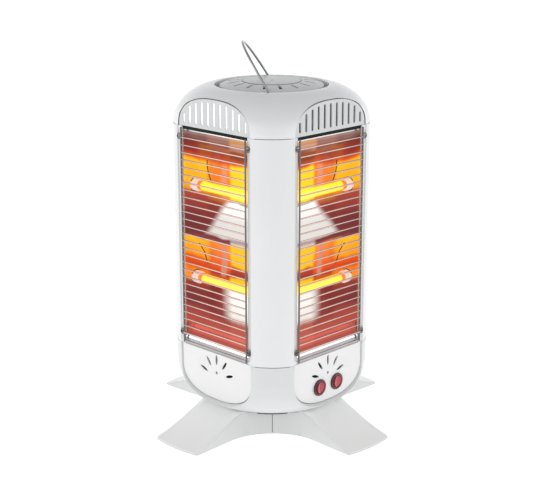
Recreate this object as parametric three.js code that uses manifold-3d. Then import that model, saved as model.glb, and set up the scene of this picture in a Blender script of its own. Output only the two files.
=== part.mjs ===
// Four-sided halogen heater: a rounded-square tower on a four-legged foot, with two tube lamps,
// a polished reflector and a wire guard on each side, a vented cap and a wire bail on top.
// Millimetres, +Z up, origin on the floor under the centre of the tower.
// The control panel faces -Y; each side piece is built there and turned about Z to the other sides.

import * as THREE from 'three';
import { mergeVertices } from 'three/addons/utils/BufferGeometryUtils.js';
import Module from 'manifold-3d';

const wasm = await Module();
wasm.setup();

// ---------------------------------------------------------------- driving dimensions

const SIDES = ['front', 'left', 'back', 'right'];

// Tower plan: a square with very round corners.
const FACE_DEPTH = 104;            // plane of the recessed panels, from the axis
const FACE_INSET = 5;              // the tower's widest line lies this far in front of them
const CORNER_RADIUS = 62;          // radius of the corner posts' outer surface
const WALL = 2.5;                  // wall of the moulded pieces
const FIT = 0.3;                   // clearance between pieces that seat on each other

// Levels of the tower, bottom to top.
const BOWL_BOTTOM = 36;            // underside of the lower moulding
const BOWL_HEIGHT = 50;            // height over which its sides curve in
const BOWL_FLOOR_RADIUS = 90.5;    // radius where the curve meets the underside
const POST_BOTTOM = 111;           // joint line between lower moulding and corner posts
const POST_TOP = 406.8;            // joint line between corner posts and top cap
const DOME_LAND = 1.2;             // straight wall of the top cap before it curves in
const DOME_HEIGHT = 48;            // height over which it curves in
const DOME_TOP_RADIUS = 72;
const DOME_POWER = 1.9;            // exponent of the cap's superelliptic shoulder

// Face slot: the long recess of each side, with an arched head and foot.
const SLOT_HALF = 65.5;            // half width of the slot
const SLOT_FLOOR = 10;             // lowest point of the slot over the lower moulding's underside
const SLOT_CUT = 12;               // how far behind the panels the slot is cut
const SLOT_RISE = 39;              // rise of head and foot
const SLOT_POWER = 2.4;            // exponent of their superelliptic outline
const SLOT_FLARE = 4.6;            // how far the recess opens out
const SLOT_FLARE_DEPTH = 6.5;      // over this depth
const ARCH_STEPS = 14;             // facets of every arched outline
const ROUND_SIDES = 32;            // facets of the tower's round outer surfaces
const LINING_SIDES = 20;           // and of the surfaces inside them
const SHOULDER_STEPS = 6;          // rows of facets where the outer surfaces curve in
const LINING_STEPS = 3;            // and inside them

// Window between the posts.
const FLANGE = 5.5;                // width of a post's flange beside the window
const SILL_HEIGHT = 13.6;          // bright strip over the lower panel
const HEAD_GAP = 4.8;              // reflectors end this far under the upper joint line

// Arched vent slots.
const VENT_PITCH = 11.2;
const VENT_SLOT_WIDTH = 3;
const VENT_SILL = 4.7;             // upper joint line to the slots' lower ends
const VENT_MARGIN = 4.6;           // web between slot ends and the outline

// Fan of petal-shaped slots in the lower panels.
const FAN_MARGIN = 1.75;           // upper edge of the panel to the highest petal
const FAN_PETALS = 5;
const FAN_STEP = 35.5;             // degrees between petals
const PETAL_START = 18.3;
const PETAL_LENGTH = 14.3;
const PETAL_WIDTH = 3.8;
const FAN_DOT_RISE = 7.5;          // small round hole over the fan's centre
const FAN_DOT_RADIUS = 1.8;

// Lamps and reflector troughs.
const LAMP_SETBACK = 1.45;         // lamps lie this far behind the middle of the end plates
const TUBE_RADIUS = 6.2;
const CERAMIC_RADIUS = 8.4;
const CERAMIC_INSIDE = 9.3;        // length of a ceramic sleeve inside its end plate
const CERAMIC_OUTSIDE = 1.2;       // and outside it, before the thinner tail
const CERAMIC_TAIL_RADIUS = 5.4;
const CERAMIC_TAIL = 3.5;
const TROUGH_CORNER = 4.7;         // a trough's back to the end plates of the next side
const RIDGE_INSET = 6.5;           // ridge between the troughs, behind the panel plane
const RIDGE = 4;                   // height of that ridge
const TROUGH_FOOT = 28;            // lower joint line to the lower trough's edge
const TROUGH_HEAD = 15;            // upper trough's edge to the top of the sheet
const REFLECTOR_FOLD = 0.55;       // sheet's lower fold over the sill's upper edge
const REFLECTOR_LIP = 8;           // flat lip at the top of the sheet
const LIP_INSET = 0.9;             // lips behind the backs of the posts' flanges
const SHEET = 0.8;                 // reflector sheet
const PLATE = 1;                   // end plates
const PLATE_BACK = 2;              // end plates reach this far behind the troughs
const DECK = 1.2;                  // steel decks under and over the reflectors
const DECK_OPENING = 46;           // half width of the decks' central opening
const DECK_GAP = 0.5;              // lower deck under the lower joint

// Wire guard.
const GUARD_STAND = 2.5;           // guard plane in front of the panel plane
const ROD_RADIUS = 1.8;
const ROD_INSET = 1;               // upright rods inside the window's edges
const ROD_LIFT = 2.5;              // their lower ends over the lower joint line
const ROD_DROP = 5.3;              // and their upper ends under the upper joint line
const WIRE_RADIUS = 1;
const WIRE_START = 10.4;           // bottom bar to the lowest thin wire
const WIRE_PITCH = 9.8;
const BAR_RADIUS = 1.75;           // thick bottom bar, just over the sill
const HOOK_OUTSET = 3.4;           // hooked ends outside the window's edges
const HOOK_REACH = 3.1;            // they end this far behind the panel plane
const HOOK_STRAIGHT = 0.6;         // straight wire between a rod and its hook's bend
const HOOK_CLEARANCE = 0.35;

// Top disc and bail.
const GROOVE_RADIUS = 74.2;
const GROOVE_DEPTH = 9.2;          // from the cap's top to the groove's floor
const GROOVE_SHOULDER = 5.8;       // wall outside the groove, which carries the bail
const GROOVE_WIDTH = 6.4;          // free ring between the disc and the groove's side
const DISC_EDGE = 8.2;             // disc's edge over the groove's floor
const DISC_RISE = 5.2;             // its middle over its edge
const DISC_INNER = 38;             // radius of the raised middle
const DISC_STEP = 0.6;             // height of the step round it
const DISC_HOLE = 2.6;
const DISC_SLOTS = 16;
const DISC_SLOT_INSIDE = 4.5;      // slots start this far outside the raised middle
const DISC_SLOT_OUTSIDE = 9.3;     // and end this far inside the disc's edge
const DISC_SLOT_WIDTH = 4.2;
const DISC_SEAT = 6.8;             // width of the ledge that the disc stands on
const BAIL_WIRE = 1.6;             // wire radius
const BAIL_BEND = 2.4;
const BAIL_PIN = 4.8;              // pins reach this far into the wall
const BAIL_PIN_GAP = 4;            // depth of the pivot holes past the pins
const BAIL_LIFT = 2.5;             // pivots over the groove's floor
const BAIL_TILT = 32;              // degrees off upright
const BAIL_CLEARANCE = 0.35;

// Rocker switches.
const SWITCH_SPACING = 16.5;       // half distance between the two
const SWITCH_DROP = 9;             // fan's centre down to theirs
const BEZEL_RADIUS = 11.3;
const BEZEL_HEIGHT = 2.2;
const BEZEL_LIP = 1.4;             // bezel outside the barrel
const BARREL_WALL = 1.5;
const BARREL_DEPTH = 12;
const SWITCH_BORE_DEPTH = 5.2;     // bore depth behind the panel's face
const ROCKER_GAP = 0.7;            // bore clearance round the rocker
const ROCKER_FRONT = 2.7;          // pivot to the rocker's raised edges
const ROCKER_WAIST = 1.3;          // pivot to the crease between its halves
const ROCKER_BACK = 2.2;
const ROCKER_PIVOT = 0.6;          // pivot axis in front of the panel's face
const ROCKER_THROW = 10;           // degrees either side of the middle

// Cord bush in the back panel.
const BUSH_DROP = 16.5;            // fan's centre down to its own
const BUSH_BORE = 4;
const BUSH_BARREL = 6;
const BUSH_FLANGE = 8.2;
const BUSH_FLANGE_HEIGHT = 2;
const BUSH_LENGTH = 9;

// Foot.
const FOOT_REACH = 181.5;          // radius over the leg tips
const FOOT_TIP_HEIGHT = 3.4;
const FOOT_TIP_HALF = 39.6;        // half width of a leg at its tip
const FOOT_ROOT_HALF = 36.3;       // half width where the waist curve starts
const FOOT_ROOT = 114.7;           // and its distance from the axis
const FOOT_WAIST = 82.5;           // radius at the waist between legs
const FOOT_SHOULDER = 103;         // radius of the flat seat under the tower
const FOOT_WALL = 3;
const FOOT_CLEAR = 1;              // rim above the floor
const FOOT_SEAM = 0.4;             // gap between the two halves
const PAD_RADIUS = 8;
const PAD_HEIGHT = 4;
const PAD_INSET = 31.5;            // pads' centres inside the leg tips
const BOSS_MARGIN = 2;             // boss round each pad

// Inside the lower moulding.
const SCREW_BOSS_RADIUS = 7;
const SCREW_BOSS_INSET = 26;       // screw bosses inside the planes of both neighbouring panels
const WIRING_HOLE = 20;            // radius of the hole in the floor
const LINING_INSET = 0.5;          // straight inner walls behind the backs of the panels
const PAST = 5;                    // cutters run this far past what they cut

// ---------------------------------------------------------------- derived places

const bodyHalf = FACE_DEPTH + FACE_INSET;
const bodyDiagonal = Math.SQRT2 * (bodyHalf - CORNER_RADIUS) + CORNER_RADIUS;
const panelTop = POST_BOTTOM - FIT / 2;             // upper edge of the lower panels
const ventBottom = POST_TOP + FIT / 2;              // lower edge of the arched vents
const domeStart = POST_TOP + DOME_LAND;
const domeEnd = domeStart + DOME_HEIGHT;
const slotHead = domeStart;                         // level where the arched head springs
const slotFoot = BOWL_BOTTOM + SLOT_FLOOR + SLOT_RISE;
const windowHalf = SLOT_HALF - FLANGE;              // half width between the posts' flanges
const chamberTop = POST_TOP - HEAD_GAP;
const ventSill = POST_TOP + VENT_SILL;
const fanLevel = panelTop - FAN_MARGIN - PETAL_LENGTH - PETAL_START;
const switchLevel = fanLevel - SWITCH_DROP;
const bushLevel = fanLevel - BUSH_DROP;

const barrelRadius = BEZEL_RADIUS - BEZEL_LIP;
const switchBore = barrelRadius - BARREL_WALL;
const rockerRadius = switchBore - ROCKER_GAP;

const deckLow = panelTop - DECK_GAP - DECK;
const chamberBottom = deckLow + DECK + FIT;
const reflectorFront = FACE_DEPTH - WALL - LIP_INSET;
const plateFace = windowHalf + FIT;                 // inner faces of the end plates
const plateFront = reflectorFront + FIT;
const troughBack = plateFace + PLATE + TROUGH_CORNER;
const troughFront = FACE_DEPTH - RIDGE_INSET;
const troughLow = POST_BOTTOM + TROUGH_FOOT;
const troughHigh = chamberTop - TROUGH_HEAD;
const troughHalf = (troughHigh - troughLow - RIDGE) / 4;
const lampLevels = [troughLow + troughHalf, troughHigh - troughHalf];
const lampDepth = (troughBack + plateFront) / 2 - LAMP_SETBACK;
const tubeHalf = plateFace - CERAMIC_INSIDE;
const lampHalf = plateFace + PLATE + CERAMIC_OUTSIDE + CERAMIC_TAIL;

const sillBottom = panelTop + FIT;
const sillTop = sillBottom + SILL_HEIGHT;
const guardDepth = FACE_DEPTH + GUARD_STAND;
const rodSpacing = windowHalf - ROD_INSET;
const rodBottom = POST_BOTTOM + ROD_LIFT;
const rodTop = POST_TOP - ROD_DROP;
const barLevel = sillTop + FIT + BAR_RADIUS;
const wireFirst = barLevel + WIRE_START;
const wireCount = Math.floor((rodTop - wireFirst) / WIRE_PITCH) + 1;
const topWireLevel = wireFirst + WIRE_PITCH * (wireCount - 1);
const hookSpacing = windowHalf + HOOK_OUTSET;
const hookDepth = FACE_DEPTH - HOOK_REACH;

const grooveFloor = domeEnd - GROOVE_DEPTH;
const grooveWall = GROOVE_RADIUS + GROOVE_SHOULDER;
const discRadius = GROOVE_RADIUS - GROOVE_WIDTH;
const discLedge = discRadius - DISC_SEAT;
const discRim = grooveFloor + DISC_EDGE;
const discCrown = discRim + DISC_RISE;
const bailRadius = GROOVE_RADIUS - GROOVE_WIDTH / 2;
const bailPinEnd = GROOVE_RADIUS + BAIL_PIN;
const bailLevel = grooveFloor + BAIL_LIFT;

const footHeight = BOWL_BOTTOM - FIT;
const padReach = FOOT_REACH - PAD_INSET;

// ---------------------------------------------------------------- helpers

const rad = THREE.MathUtils.degToRad;

// A geometry as a closed solid with shared corners and no collapsed triangles.
function solid(geometry) {
  const bare = geometry.clone();
  bare.deleteAttribute('normal');
  bare.deleteAttribute('uv');
  const merged = mergeVertices(bare, 1e-4);
  const points = merged.attributes.position;
  const index = merged.index.array;
  const faces = [];
  let volume = 0;
  for (let i = 0; i < index.length; i += 3) {
    const [a, b, c] = [index[i], index[i + 1], index[i + 2]];
    if (a === b || b === c || c === a) continue;
    const pa = new THREE.Vector3().fromBufferAttribute(points, a);
    const pb = new THREE.Vector3().fromBufferAttribute(points, b);
    const pc = new THREE.Vector3().fromBufferAttribute(points, c);
    volume += pa.dot(pb.cross(pc));
    faces.push([a, b, c]);
  }
  if (volume < 0) faces.forEach((face) => face.reverse());
  return new wasm.Manifold(new wasm.Mesh({
    numProp: 3,
    vertProperties: new Float32Array(points.array),
    triVerts: new Uint32Array(faces.flat()),
  }));
}

function geometryOf(manifold) {
  const mesh = manifold.getMesh();
  const geometry = new THREE.BufferGeometry();
  geometry.setAttribute('position', new THREE.BufferAttribute(new Float32Array(mesh.vertProperties), 3));
  geometry.setIndex(new THREE.BufferAttribute(new Uint32Array(mesh.triVerts), 1));
  const faceted = geometry.toNonIndexed();
  faceted.computeVertexNormals();
  return faceted;
}

function union(solids) {
  return solids.reduce((sum, next) => sum.add(next));
}

function shapeOf(points) {
  return new THREE.Shape(points.map(([x, y]) => new THREE.Vector2(x, y)));
}

// Outline extruded upwards from one level to another.
function upright(points, low, high) {
  const geometry = new THREE.ExtrudeGeometry(shapeOf(points), { depth: high - low, bevelEnabled: false });
  return geometry.translate(0, 0, low);
}

// Outline in the plane of the front side (across, up), extruded outwards between two depths.
function faceSlab(shape, inner, outer, options = {}) {
  const settings = { depth: outer - inner, bevelEnabled: false, ...options };
  const geometry = new THREE.ExtrudeGeometry(shape, settings);
  return geometry.rotateX(Math.PI / 2).translate(0, -inner, 0);
}

// Section (depth, up) drawn across the front side, centred on it.
function acrossFace(points, low, high) {
  const geometry = new THREE.ExtrudeGeometry(shapeOf(points), { depth: high - low, bevelEnabled: false });
  const basis = new THREE.Matrix4().makeBasis(
    new THREE.Vector3(0, -1, 0),
    new THREE.Vector3(0, 0, 1),
    new THREE.Vector3(-1, 0, 0),
  );
  return geometry.translate(0, 0, low).applyMatrix4(basis);
}

// Profile of (radius, level) pairs turned about the tower's axis.
function turned(profile, segments) {
  const points = profile.map(([r, z]) => new THREE.Vector2(r, z));
  return new THREE.LatheGeometry(points, segments).rotateX(Math.PI / 2);
}

// The same, about an axis square to the front side: (radius, depth) pairs.
function turnedOnFace(profile, segments, across, level) {
  const points = profile.map(([r, d]) => new THREE.Vector2(r, d));
  return new THREE.LatheGeometry(points, segments).rotateX(Math.PI).translate(across, 0, level);
}

// Round bar between two points.
function bar(from, to, radius, sides) {
  const a = new THREE.Vector3(...from);
  const b = new THREE.Vector3(...to);
  const along = new THREE.Vector3().subVectors(b, a);
  const direction = along.clone().normalize();
  const turn = new THREE.Quaternion().setFromUnitVectors(new THREE.Vector3(0, 1, 0), direction);
  const geometry = new THREE.CylinderGeometry(radius, radius, along.length(), sides);
  return geometry.applyQuaternion(turn).translate(...a.add(b).multiplyScalar(0.5).toArray());
}

// Wire of round section along a curve.
function wireAlong(curve, radius, sides, steps) {
  const section = [];
  for (let i = 0; i < sides; i += 1) {
    const angle = (2 * Math.PI * i) / sides;
    section.push([radius * Math.cos(angle), radius * Math.sin(angle)]);
  }
  return new THREE.ExtrudeGeometry(shapeOf(section), { steps, extrudePath: curve, bevelEnabled: false });
}

function roundedSquare(half, radius, steps) {
  const centre = half - radius;
  const points = [];
  for (let corner = 0; corner < 4; corner += 1) {
    const cx = centre * [1, -1, -1, 1][corner];
    const cy = centre * [1, 1, -1, -1][corner];
    for (let i = 0; i <= steps; i += 1) {
      const angle = (corner + i / steps) * Math.PI / 2;
      points.push([cx + radius * Math.cos(angle), cy + radius * Math.sin(angle)]);
    }
  }
  return points;
}

// Superelliptic arch from (half, 0) over (0, rise) to (-half, 0).
function arch(half, rise) {
  const points = [];
  for (let i = 0; i <= ARCH_STEPS; i += 1) {
    const angle = (Math.PI * i) / ARCH_STEPS;
    const c = Math.cos(angle);
    const s = Math.sin(angle);
    const x = half * Math.sign(c) * Math.abs(c) ** (2 / SLOT_POWER);
    points.push([x, rise * Math.max(s, 0) ** (2 / SLOT_POWER)]);
  }
  return points;
}

function archHeight(half, rise, x) {
  return rise * (1 - (Math.abs(x) / half) ** SLOT_POWER) ** (1 / SLOT_POWER);
}

// Circle of radius `radius` round (x, y) as a hole or outline.
function ring(x, y, radius, sides) {
  const points = [];
  for (let i = 0; i < sides; i += 1) {
    const angle = (2 * Math.PI * i) / sides;
    points.push([x + radius * Math.cos(angle), y + radius * Math.sin(angle)]);
  }
  return points;
}

// ---------------------------------------------------------------- mouldings

const slotOutline = [
  ...arch(SLOT_HALF + FIT, SLOT_RISE + FIT).map(([x, y]) => [x, slotHead + y]),
  ...arch(SLOT_HALF + FIT, SLOT_RISE + FIT).map(([x, y]) => [-x, slotFoot - y]),
];

// Cutter of one face slot: straight behind the panel plane, flared in front of it.
const slotCutter = solid(faceSlab(shapeOf(slotOutline), FACE_DEPTH - SLOT_CUT, FACE_DEPTH + 0.1)).add(
  solid(faceSlab(shapeOf(slotOutline), FACE_DEPTH + SLOT_FLARE_DEPTH, bodyDiagonal, {
    bevelEnabled: true,
    bevelThickness: SLOT_FLARE_DEPTH,
    bevelSize: SLOT_FLARE,
    bevelSegments: 1,
  })),
);

function cutSlots(moulding) {
  return SIDES.reduce((rest, _, side) => rest.subtract(slotCutter.rotate([0, 0, -90 * side])), moulding);
}

// Quarter of a superellipse from (outer radius, start) inwards to (inner radius, start + height).
function shoulder(inner, width, start, height, power, steps) {
  const points = [];
  for (let i = 0; i <= steps; i += 1) {
    const angle = (Math.PI / 2) * (i / steps);
    const reach = Math.max(Math.cos(angle), 0) ** (2 / power);
    points.push([inner + width * reach, start + height * Math.sin(angle) ** (2 / power)]);
  }
  return points;
}

const innerHalf = FACE_DEPTH - WALL - LINING_INSET;
const innerCorner = (Math.SQRT2 * innerHalf - (bodyDiagonal - WALL)) / (Math.SQRT2 - 1);
const outerPlan = roundedSquare(bodyHalf, CORNER_RADIUS, 6);
const innerPlan = roundedSquare(innerHalf, innerCorner, 4);

function makeTopCap() {
  const width = bodyDiagonal - DOME_TOP_RADIUS;
  const shell = shoulder(DOME_TOP_RADIUS, width, domeStart, DOME_HEIGHT, DOME_POWER, SHOULDER_STEPS);
  const low = POST_TOP + FIT / 2;
  const outer = solid(turned([
    [0, low - PAST],
    [bodyDiagonal, low - PAST],
    ...shell,
    [0, domeEnd],
  ], ROUND_SIDES)).intersect(solid(upright(outerPlan, low, domeEnd + PAST)));
  const liningHeight = DOME_HEIGHT - WALL;
  const lining = shoulder(DOME_TOP_RADIUS, width - WALL, domeStart, liningHeight, DOME_POWER, LINING_STEPS)
    .filter(([r]) => r > grooveWall + 1);
  const liningTop = lining[lining.length - 1][1];
  const hollow = solid(turned([
    [0, low - 2 * PAST],
    [bodyDiagonal - WALL, low - 2 * PAST],
    ...lining,
    [grooveWall, liningTop],
    [grooveWall, grooveFloor - WALL],
    [0, grooveFloor - WALL],
  ], LINING_SIDES)).intersect(solid(upright(innerPlan, low - PAST, domeEnd)));
  const groove = solid(turned([
    [0, grooveFloor],
    [GROOVE_RADIUS, grooveFloor],
    [GROOVE_RADIUS, domeEnd + PAST],
    [0, domeEnd + PAST],
  ], ROUND_SIDES));
  const opening = solid(turned([
    [0, grooveFloor - PAST],
    [discLedge, grooveFloor - PAST],
    [discLedge, grooveFloor + FIT],
    [0, grooveFloor + FIT],
  ], LINING_SIDES));
  const reach = bailPinEnd + BAIL_PIN_GAP;
  const pivots = solid(bar([-reach, 0, bailLevel], [reach, 0, bailLevel], BAIL_WIRE + BAIL_CLEARANCE, 12))
    .rotate([0, 0, 45]);
  return cutSlots(outer.subtract(hollow)).subtract(groove).subtract(opening).subtract(pivots);
}

function makeLowerMoulding() {
  const bowlTop = BOWL_BOTTOM + BOWL_HEIGHT;
  const width = bodyDiagonal - BOWL_FLOOR_RADIUS;
  const shell = shoulder(BOWL_FLOOR_RADIUS, width, 0, BOWL_HEIGHT, 2, SHOULDER_STEPS)
    .map(([r, z]) => [r, bowlTop - z]).reverse();
  const high = POST_BOTTOM - FIT / 2;
  const outer = solid(turned([
    [0, BOWL_BOTTOM],
    ...shell,
    [bodyDiagonal, high + PAST],
    [0, high + PAST],
  ], ROUND_SIDES)).intersect(solid(upright(outerPlan, BOWL_BOTTOM - PAST, high)));
  const lining = shoulder(BOWL_FLOOR_RADIUS - WALL, width, 0, BOWL_HEIGHT - WALL, 2, LINING_STEPS)
    .map(([r, z]) => [r, bowlTop - z]).reverse();
  const hollow = solid(turned([
    [0, BOWL_BOTTOM + WALL],
    ...lining,
    [bodyDiagonal - WALL, high + PAST],
    [0, high + PAST],
  ], LINING_SIDES)).intersect(solid(upright(innerPlan, BOWL_BOTTOM, high + 2 * PAST)));
  const wiring = solid(turned([
    [0, BOWL_BOTTOM - PAST],
    [WIRING_HOLE, BOWL_BOTTOM - PAST],
    [WIRING_HOLE, BOWL_BOTTOM + WALL + PAST],
    [0, BOWL_BOTTOM + WALL + PAST],
  ], 16));
  const place = FACE_DEPTH - SCREW_BOSS_INSET;
  const bosses = [0, 1, 2, 3].map((corner) => {
    const low = BOWL_BOTTOM + WALL / 2;
    const post = bar([place, place, low], [place, place, deckLow - FIT], SCREW_BOSS_RADIUS, 6);
    return solid(post.rotateZ(corner * Math.PI / 2)).intersect(outer);
  });
  return union([cutSlots(outer.subtract(hollow)), ...bosses]).subtract(wiring);
}

// Corner post: an outer arc with two flanges that frame the neighbouring windows.
function makePost() {
  const centre = bodyHalf - CORNER_RADIUS;
  const half = SLOT_HALF + FIT;
  const slope = SLOT_FLARE / SLOT_FLARE_DEPTH;
  let edge = half;
  for (let i = 0; i < 20; i += 1) {
    const depth = centre + Math.sqrt(CORNER_RADIUS ** 2 - (edge - centre) ** 2);
    edge = half + slope * (depth - FACE_DEPTH);
  }
  const start = Math.asin((edge - centre) / CORNER_RADIUS);
  const inner = CORNER_RADIUS - WALL;
  const flangeBack = FACE_DEPTH - WALL;
  const innerStart = Math.acos((flangeBack - centre) / inner);
  const points = [[FACE_DEPTH, windowHalf], [FACE_DEPTH, half]];
  for (let i = 0; i <= 6; i += 1) {
    const angle = start + (Math.PI / 2 - 2 * start) * (i / 6);
    points.push([centre + CORNER_RADIUS * Math.cos(angle), centre + CORNER_RADIUS * Math.sin(angle)]);
  }
  points.push([half, FACE_DEPTH], [windowHalf, FACE_DEPTH], [windowHalf, flangeBack]);
  for (let i = 0; i <= 4; i += 1) {
    const angle = Math.PI / 2 - innerStart - (Math.PI / 2 - 2 * innerStart) * (i / 4);
    points.push([centre + inner * Math.cos(angle), centre + inner * Math.sin(angle)]);
  }
  points.push([flangeBack, windowHalf]);
  const post = solid(upright(points, POST_BOTTOM + FIT / 2, POST_TOP - FIT / 2));
  const holes = [];
  for (const [level, radius] of [[barLevel, BAR_RADIUS], [topWireLevel, WIRE_RADIUS]]) {
    const size = radius + HOOK_CLEARANCE;
    const back = flangeBack - WALL;
    const front = FACE_DEPTH + WALL;
    holes.push(solid(bar([back, hookSpacing, level], [front, hookSpacing, level], size, 6)));
    holes.push(solid(bar([hookSpacing, back, level], [hookSpacing, front, level], size, 6)));
  }
  return post.subtract(union(holes));
}

// ---------------------------------------------------------------- panels

function makeArchVent() {
  const outline = [
    [SLOT_HALF, ventBottom],
    ...arch(SLOT_HALF, SLOT_RISE).map(([x, y]) => [x, slotHead + y]),
    [-SLOT_HALF, ventBottom],
  ];
  const shape = shapeOf(outline);
  const half = VENT_SLOT_WIDTH / 2;
  const reach = Math.floor((SLOT_HALF - VENT_MARGIN - half) / VENT_PITCH);
  for (let i = -reach; i <= reach; i += 1) {
    const x = i * VENT_PITCH;
    const top = slotHead + archHeight(SLOT_HALF - VENT_MARGIN, SLOT_RISE - VENT_MARGIN, x);
    const points = [
      [x - half, ventSill + half / 2],
      [x, ventSill],
      [x + half, ventSill + half / 2],
      [x + half, top - half / 2],
      [x, top],
      [x - half, top - half / 2],
    ];
    shape.holes.push(new THREE.Path(points.map(([a, b]) => new THREE.Vector2(a, b))));
  }
  return faceSlab(shape, FACE_DEPTH - WALL, FACE_DEPTH);
}

function fanHoles() {
  const holes = [ring(0, fanLevel + FAN_DOT_RISE, FAN_DOT_RADIUS, 6)];
  for (let i = 0; i < FAN_PETALS; i += 1) {
    const angle = rad(90 + (i - (FAN_PETALS - 1) / 2) * FAN_STEP);
    const middle = PETAL_START + PETAL_LENGTH / 2;
    holes.push(ring(0, 0, 1, 8).map(([a, b]) => {
      const along = middle + a * PETAL_LENGTH / 2;
      const aside = b * PETAL_WIDTH / 2;
      return [
        along * Math.cos(angle) - aside * Math.sin(angle),
        fanLevel + along * Math.sin(angle) + aside * Math.cos(angle),
      ];
    }));
  }
  return holes;
}

function makeLowerPanel(extraHoles) {
  const foot = arch(SLOT_HALF, SLOT_RISE).map(([x, y]) => [-x, slotFoot - y]);
  const shape = shapeOf([[-SLOT_HALF, panelTop], ...foot, [SLOT_HALF, panelTop]]);
  for (const points of [...fanHoles(), ...extraHoles]) {
    shape.holes.push(new THREE.Path(points.map(([a, b]) => new THREE.Vector2(a, b))));
  }
  return faceSlab(shape, FACE_DEPTH - WALL, FACE_DEPTH);
}

// ---------------------------------------------------------------- heating chamber

// Front edge of the reflector section, bottom to top: flange, lip, two troughs, lip, flange.
function reflectorLine() {
  const points = [[reflectorFront, chamberBottom], [reflectorFront, sillTop + REFLECTOR_FOLD]];
  for (const level of lampLevels) {
    for (let i = 0; i <= 8; i += 1) {
      const t = -1 + i / 4;
      points.push([troughBack + (troughFront - troughBack) * t * t, level + t * troughHalf]);
    }
  }
  points.push([reflectorFront, chamberTop - REFLECTOR_LIP], [reflectorFront, chamberTop]);
  return points;
}

function makeReflector() {
  const front = reflectorLine();
  const back = front.map(([d, z], i) => {
    const before = front[Math.max(i - 1, 0)];
    const after = front[Math.min(i + 1, front.length - 1)];
    const along = new THREE.Vector2(after[0] - before[0], after[1] - before[1]).normalize();
    const level = i === 0 || i === front.length - 1 ? z : z + along.x * SHEET;
    return [d - along.y * SHEET, level];
  });
  return acrossFace([...front, ...back.reverse()], -windowHalf, windowHalf);
}

// Plate that closes the troughs at one end and carries the lamps' ceramic ends.
function makeEndPlate() {
  const back = troughBack - PLATE_BACK;
  const shape = shapeOf([
    [back, chamberBottom],
    [plateFront, chamberBottom],
    [plateFront, chamberTop],
    [back, chamberTop],
  ]);
  for (const level of lampLevels) {
    const points = ring(lampDepth, level, (CERAMIC_RADIUS + FIT) / Math.cos(Math.PI / 8), 8);
    shape.holes.push(new THREE.Path(points.map(([a, b]) => new THREE.Vector2(a, b))));
  }
  const geometry = new THREE.ExtrudeGeometry(shape, { depth: PLATE, bevelEnabled: false });
  const basis = new THREE.Matrix4().makeBasis(
    new THREE.Vector3(0, -1, 0),
    new THREE.Vector3(0, 0, 1),
    new THREE.Vector3(-1, 0, 0),
  );
  return geometry.translate(0, 0, plateFace).applyMatrix4(basis);
}

// Lamp: glass tube with a grooved ceramic sleeve on each end.
function makeLamp() {
  const body = lampHalf - CERAMIC_TAIL;
  const half = [
    [TUBE_RADIUS, 0],
    [TUBE_RADIUS, tubeHalf],
    [CERAMIC_RADIUS, tubeHalf],
    [CERAMIC_RADIUS, body],
    [CERAMIC_TAIL_RADIUS, body],
    [CERAMIC_TAIL_RADIUS, lampHalf],
    [0, lampHalf],
  ];
  const profile = [...half.slice(1).reverse().map(([r, y]) => [r, -y]), ...half.slice(1)];
  const points = profile.map(([r, y]) => new THREE.Vector2(r, y));
  return new THREE.LatheGeometry(points, 8).rotateZ(Math.PI / 2);
}

function makeSill() {
  const back = reflectorFront + FIT;
  const front = FACE_DEPTH - 0.6;
  const section = [
    [back, sillBottom],
    [front, sillBottom],
    [front, sillBottom + 3.6],
    [front - 0.8, sillBottom + 4.2],
    [front - 0.8, sillBottom + 4.8],
    [front, sillBottom + 5.4],
    [front, sillTop - 4.4],
    [front - 1.2, sillTop],
    [back, sillTop],
  ];
  return acrossFace(section, -windowHalf + FIT, windowHalf - FIT);
}

// Steel deck with a square opening for the wiring.
function makeDeck(low) {
  const half = innerHalf - FIT;
  const shape = shapeOf(roundedSquare(half, innerCorner + 6, 4));
  const opening = roundedSquare(DECK_OPENING, 8, 2);
  shape.holes.push(new THREE.Path(opening.map(([a, b]) => new THREE.Vector2(a, b))));
  return new THREE.ExtrudeGeometry(shape, { depth: DECK, bevelEnabled: false }).translate(0, 0, low);
}

// ---------------------------------------------------------------- wire guard

// Hooked end: leaves the rod sideways and turns into the hole of the post's flange.
function hook(side, level, radius) {
  const bend = hookSpacing - rodSpacing - HOOK_STRAIGHT;
  const path = new THREE.CurvePath();
  const a = new THREE.Vector3(side * (rodSpacing - 1), -guardDepth, level);
  const b = new THREE.Vector3(side * (hookSpacing - bend), -guardDepth, level);
  const corner = new THREE.Vector3(side * hookSpacing, -guardDepth, level);
  const c = new THREE.Vector3(side * hookSpacing, -guardDepth + bend, level);
  const d = new THREE.Vector3(side * hookSpacing, -hookDepth, level);
  path.add(new THREE.LineCurve3(a, b));
  path.add(new THREE.QuadraticBezierCurve3(b, corner, c));
  path.add(new THREE.LineCurve3(c, d));
  return solid(wireAlong(path, radius, 6, 4));
}

function makeGuard() {
  const pieces = [];
  for (const side of [-1, 1]) {
    const x = side * rodSpacing;
    pieces.push(solid(bar([x, -guardDepth, rodBottom], [x, -guardDepth, rodTop], ROD_RADIUS, 6)));
    pieces.push(hook(side, barLevel, BAR_RADIUS));
    pieces.push(hook(side, topWireLevel, WIRE_RADIUS));
  }
  for (let i = 0; i < wireCount; i += 1) {
    const level = wireFirst + i * WIRE_PITCH;
    const ends = [-1, 1].map((side) => [side * rodSpacing, -guardDepth, level]);
    pieces.push(solid(bar(...ends, WIRE_RADIUS, 6)));
  }
  pieces.push(solid(bar([-rodSpacing, -guardDepth, barLevel], [rodSpacing, -guardDepth, barLevel],
    BAR_RADIUS, 6)));
  return union(pieces);
}

// ---------------------------------------------------------------- top disc and bail

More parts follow.
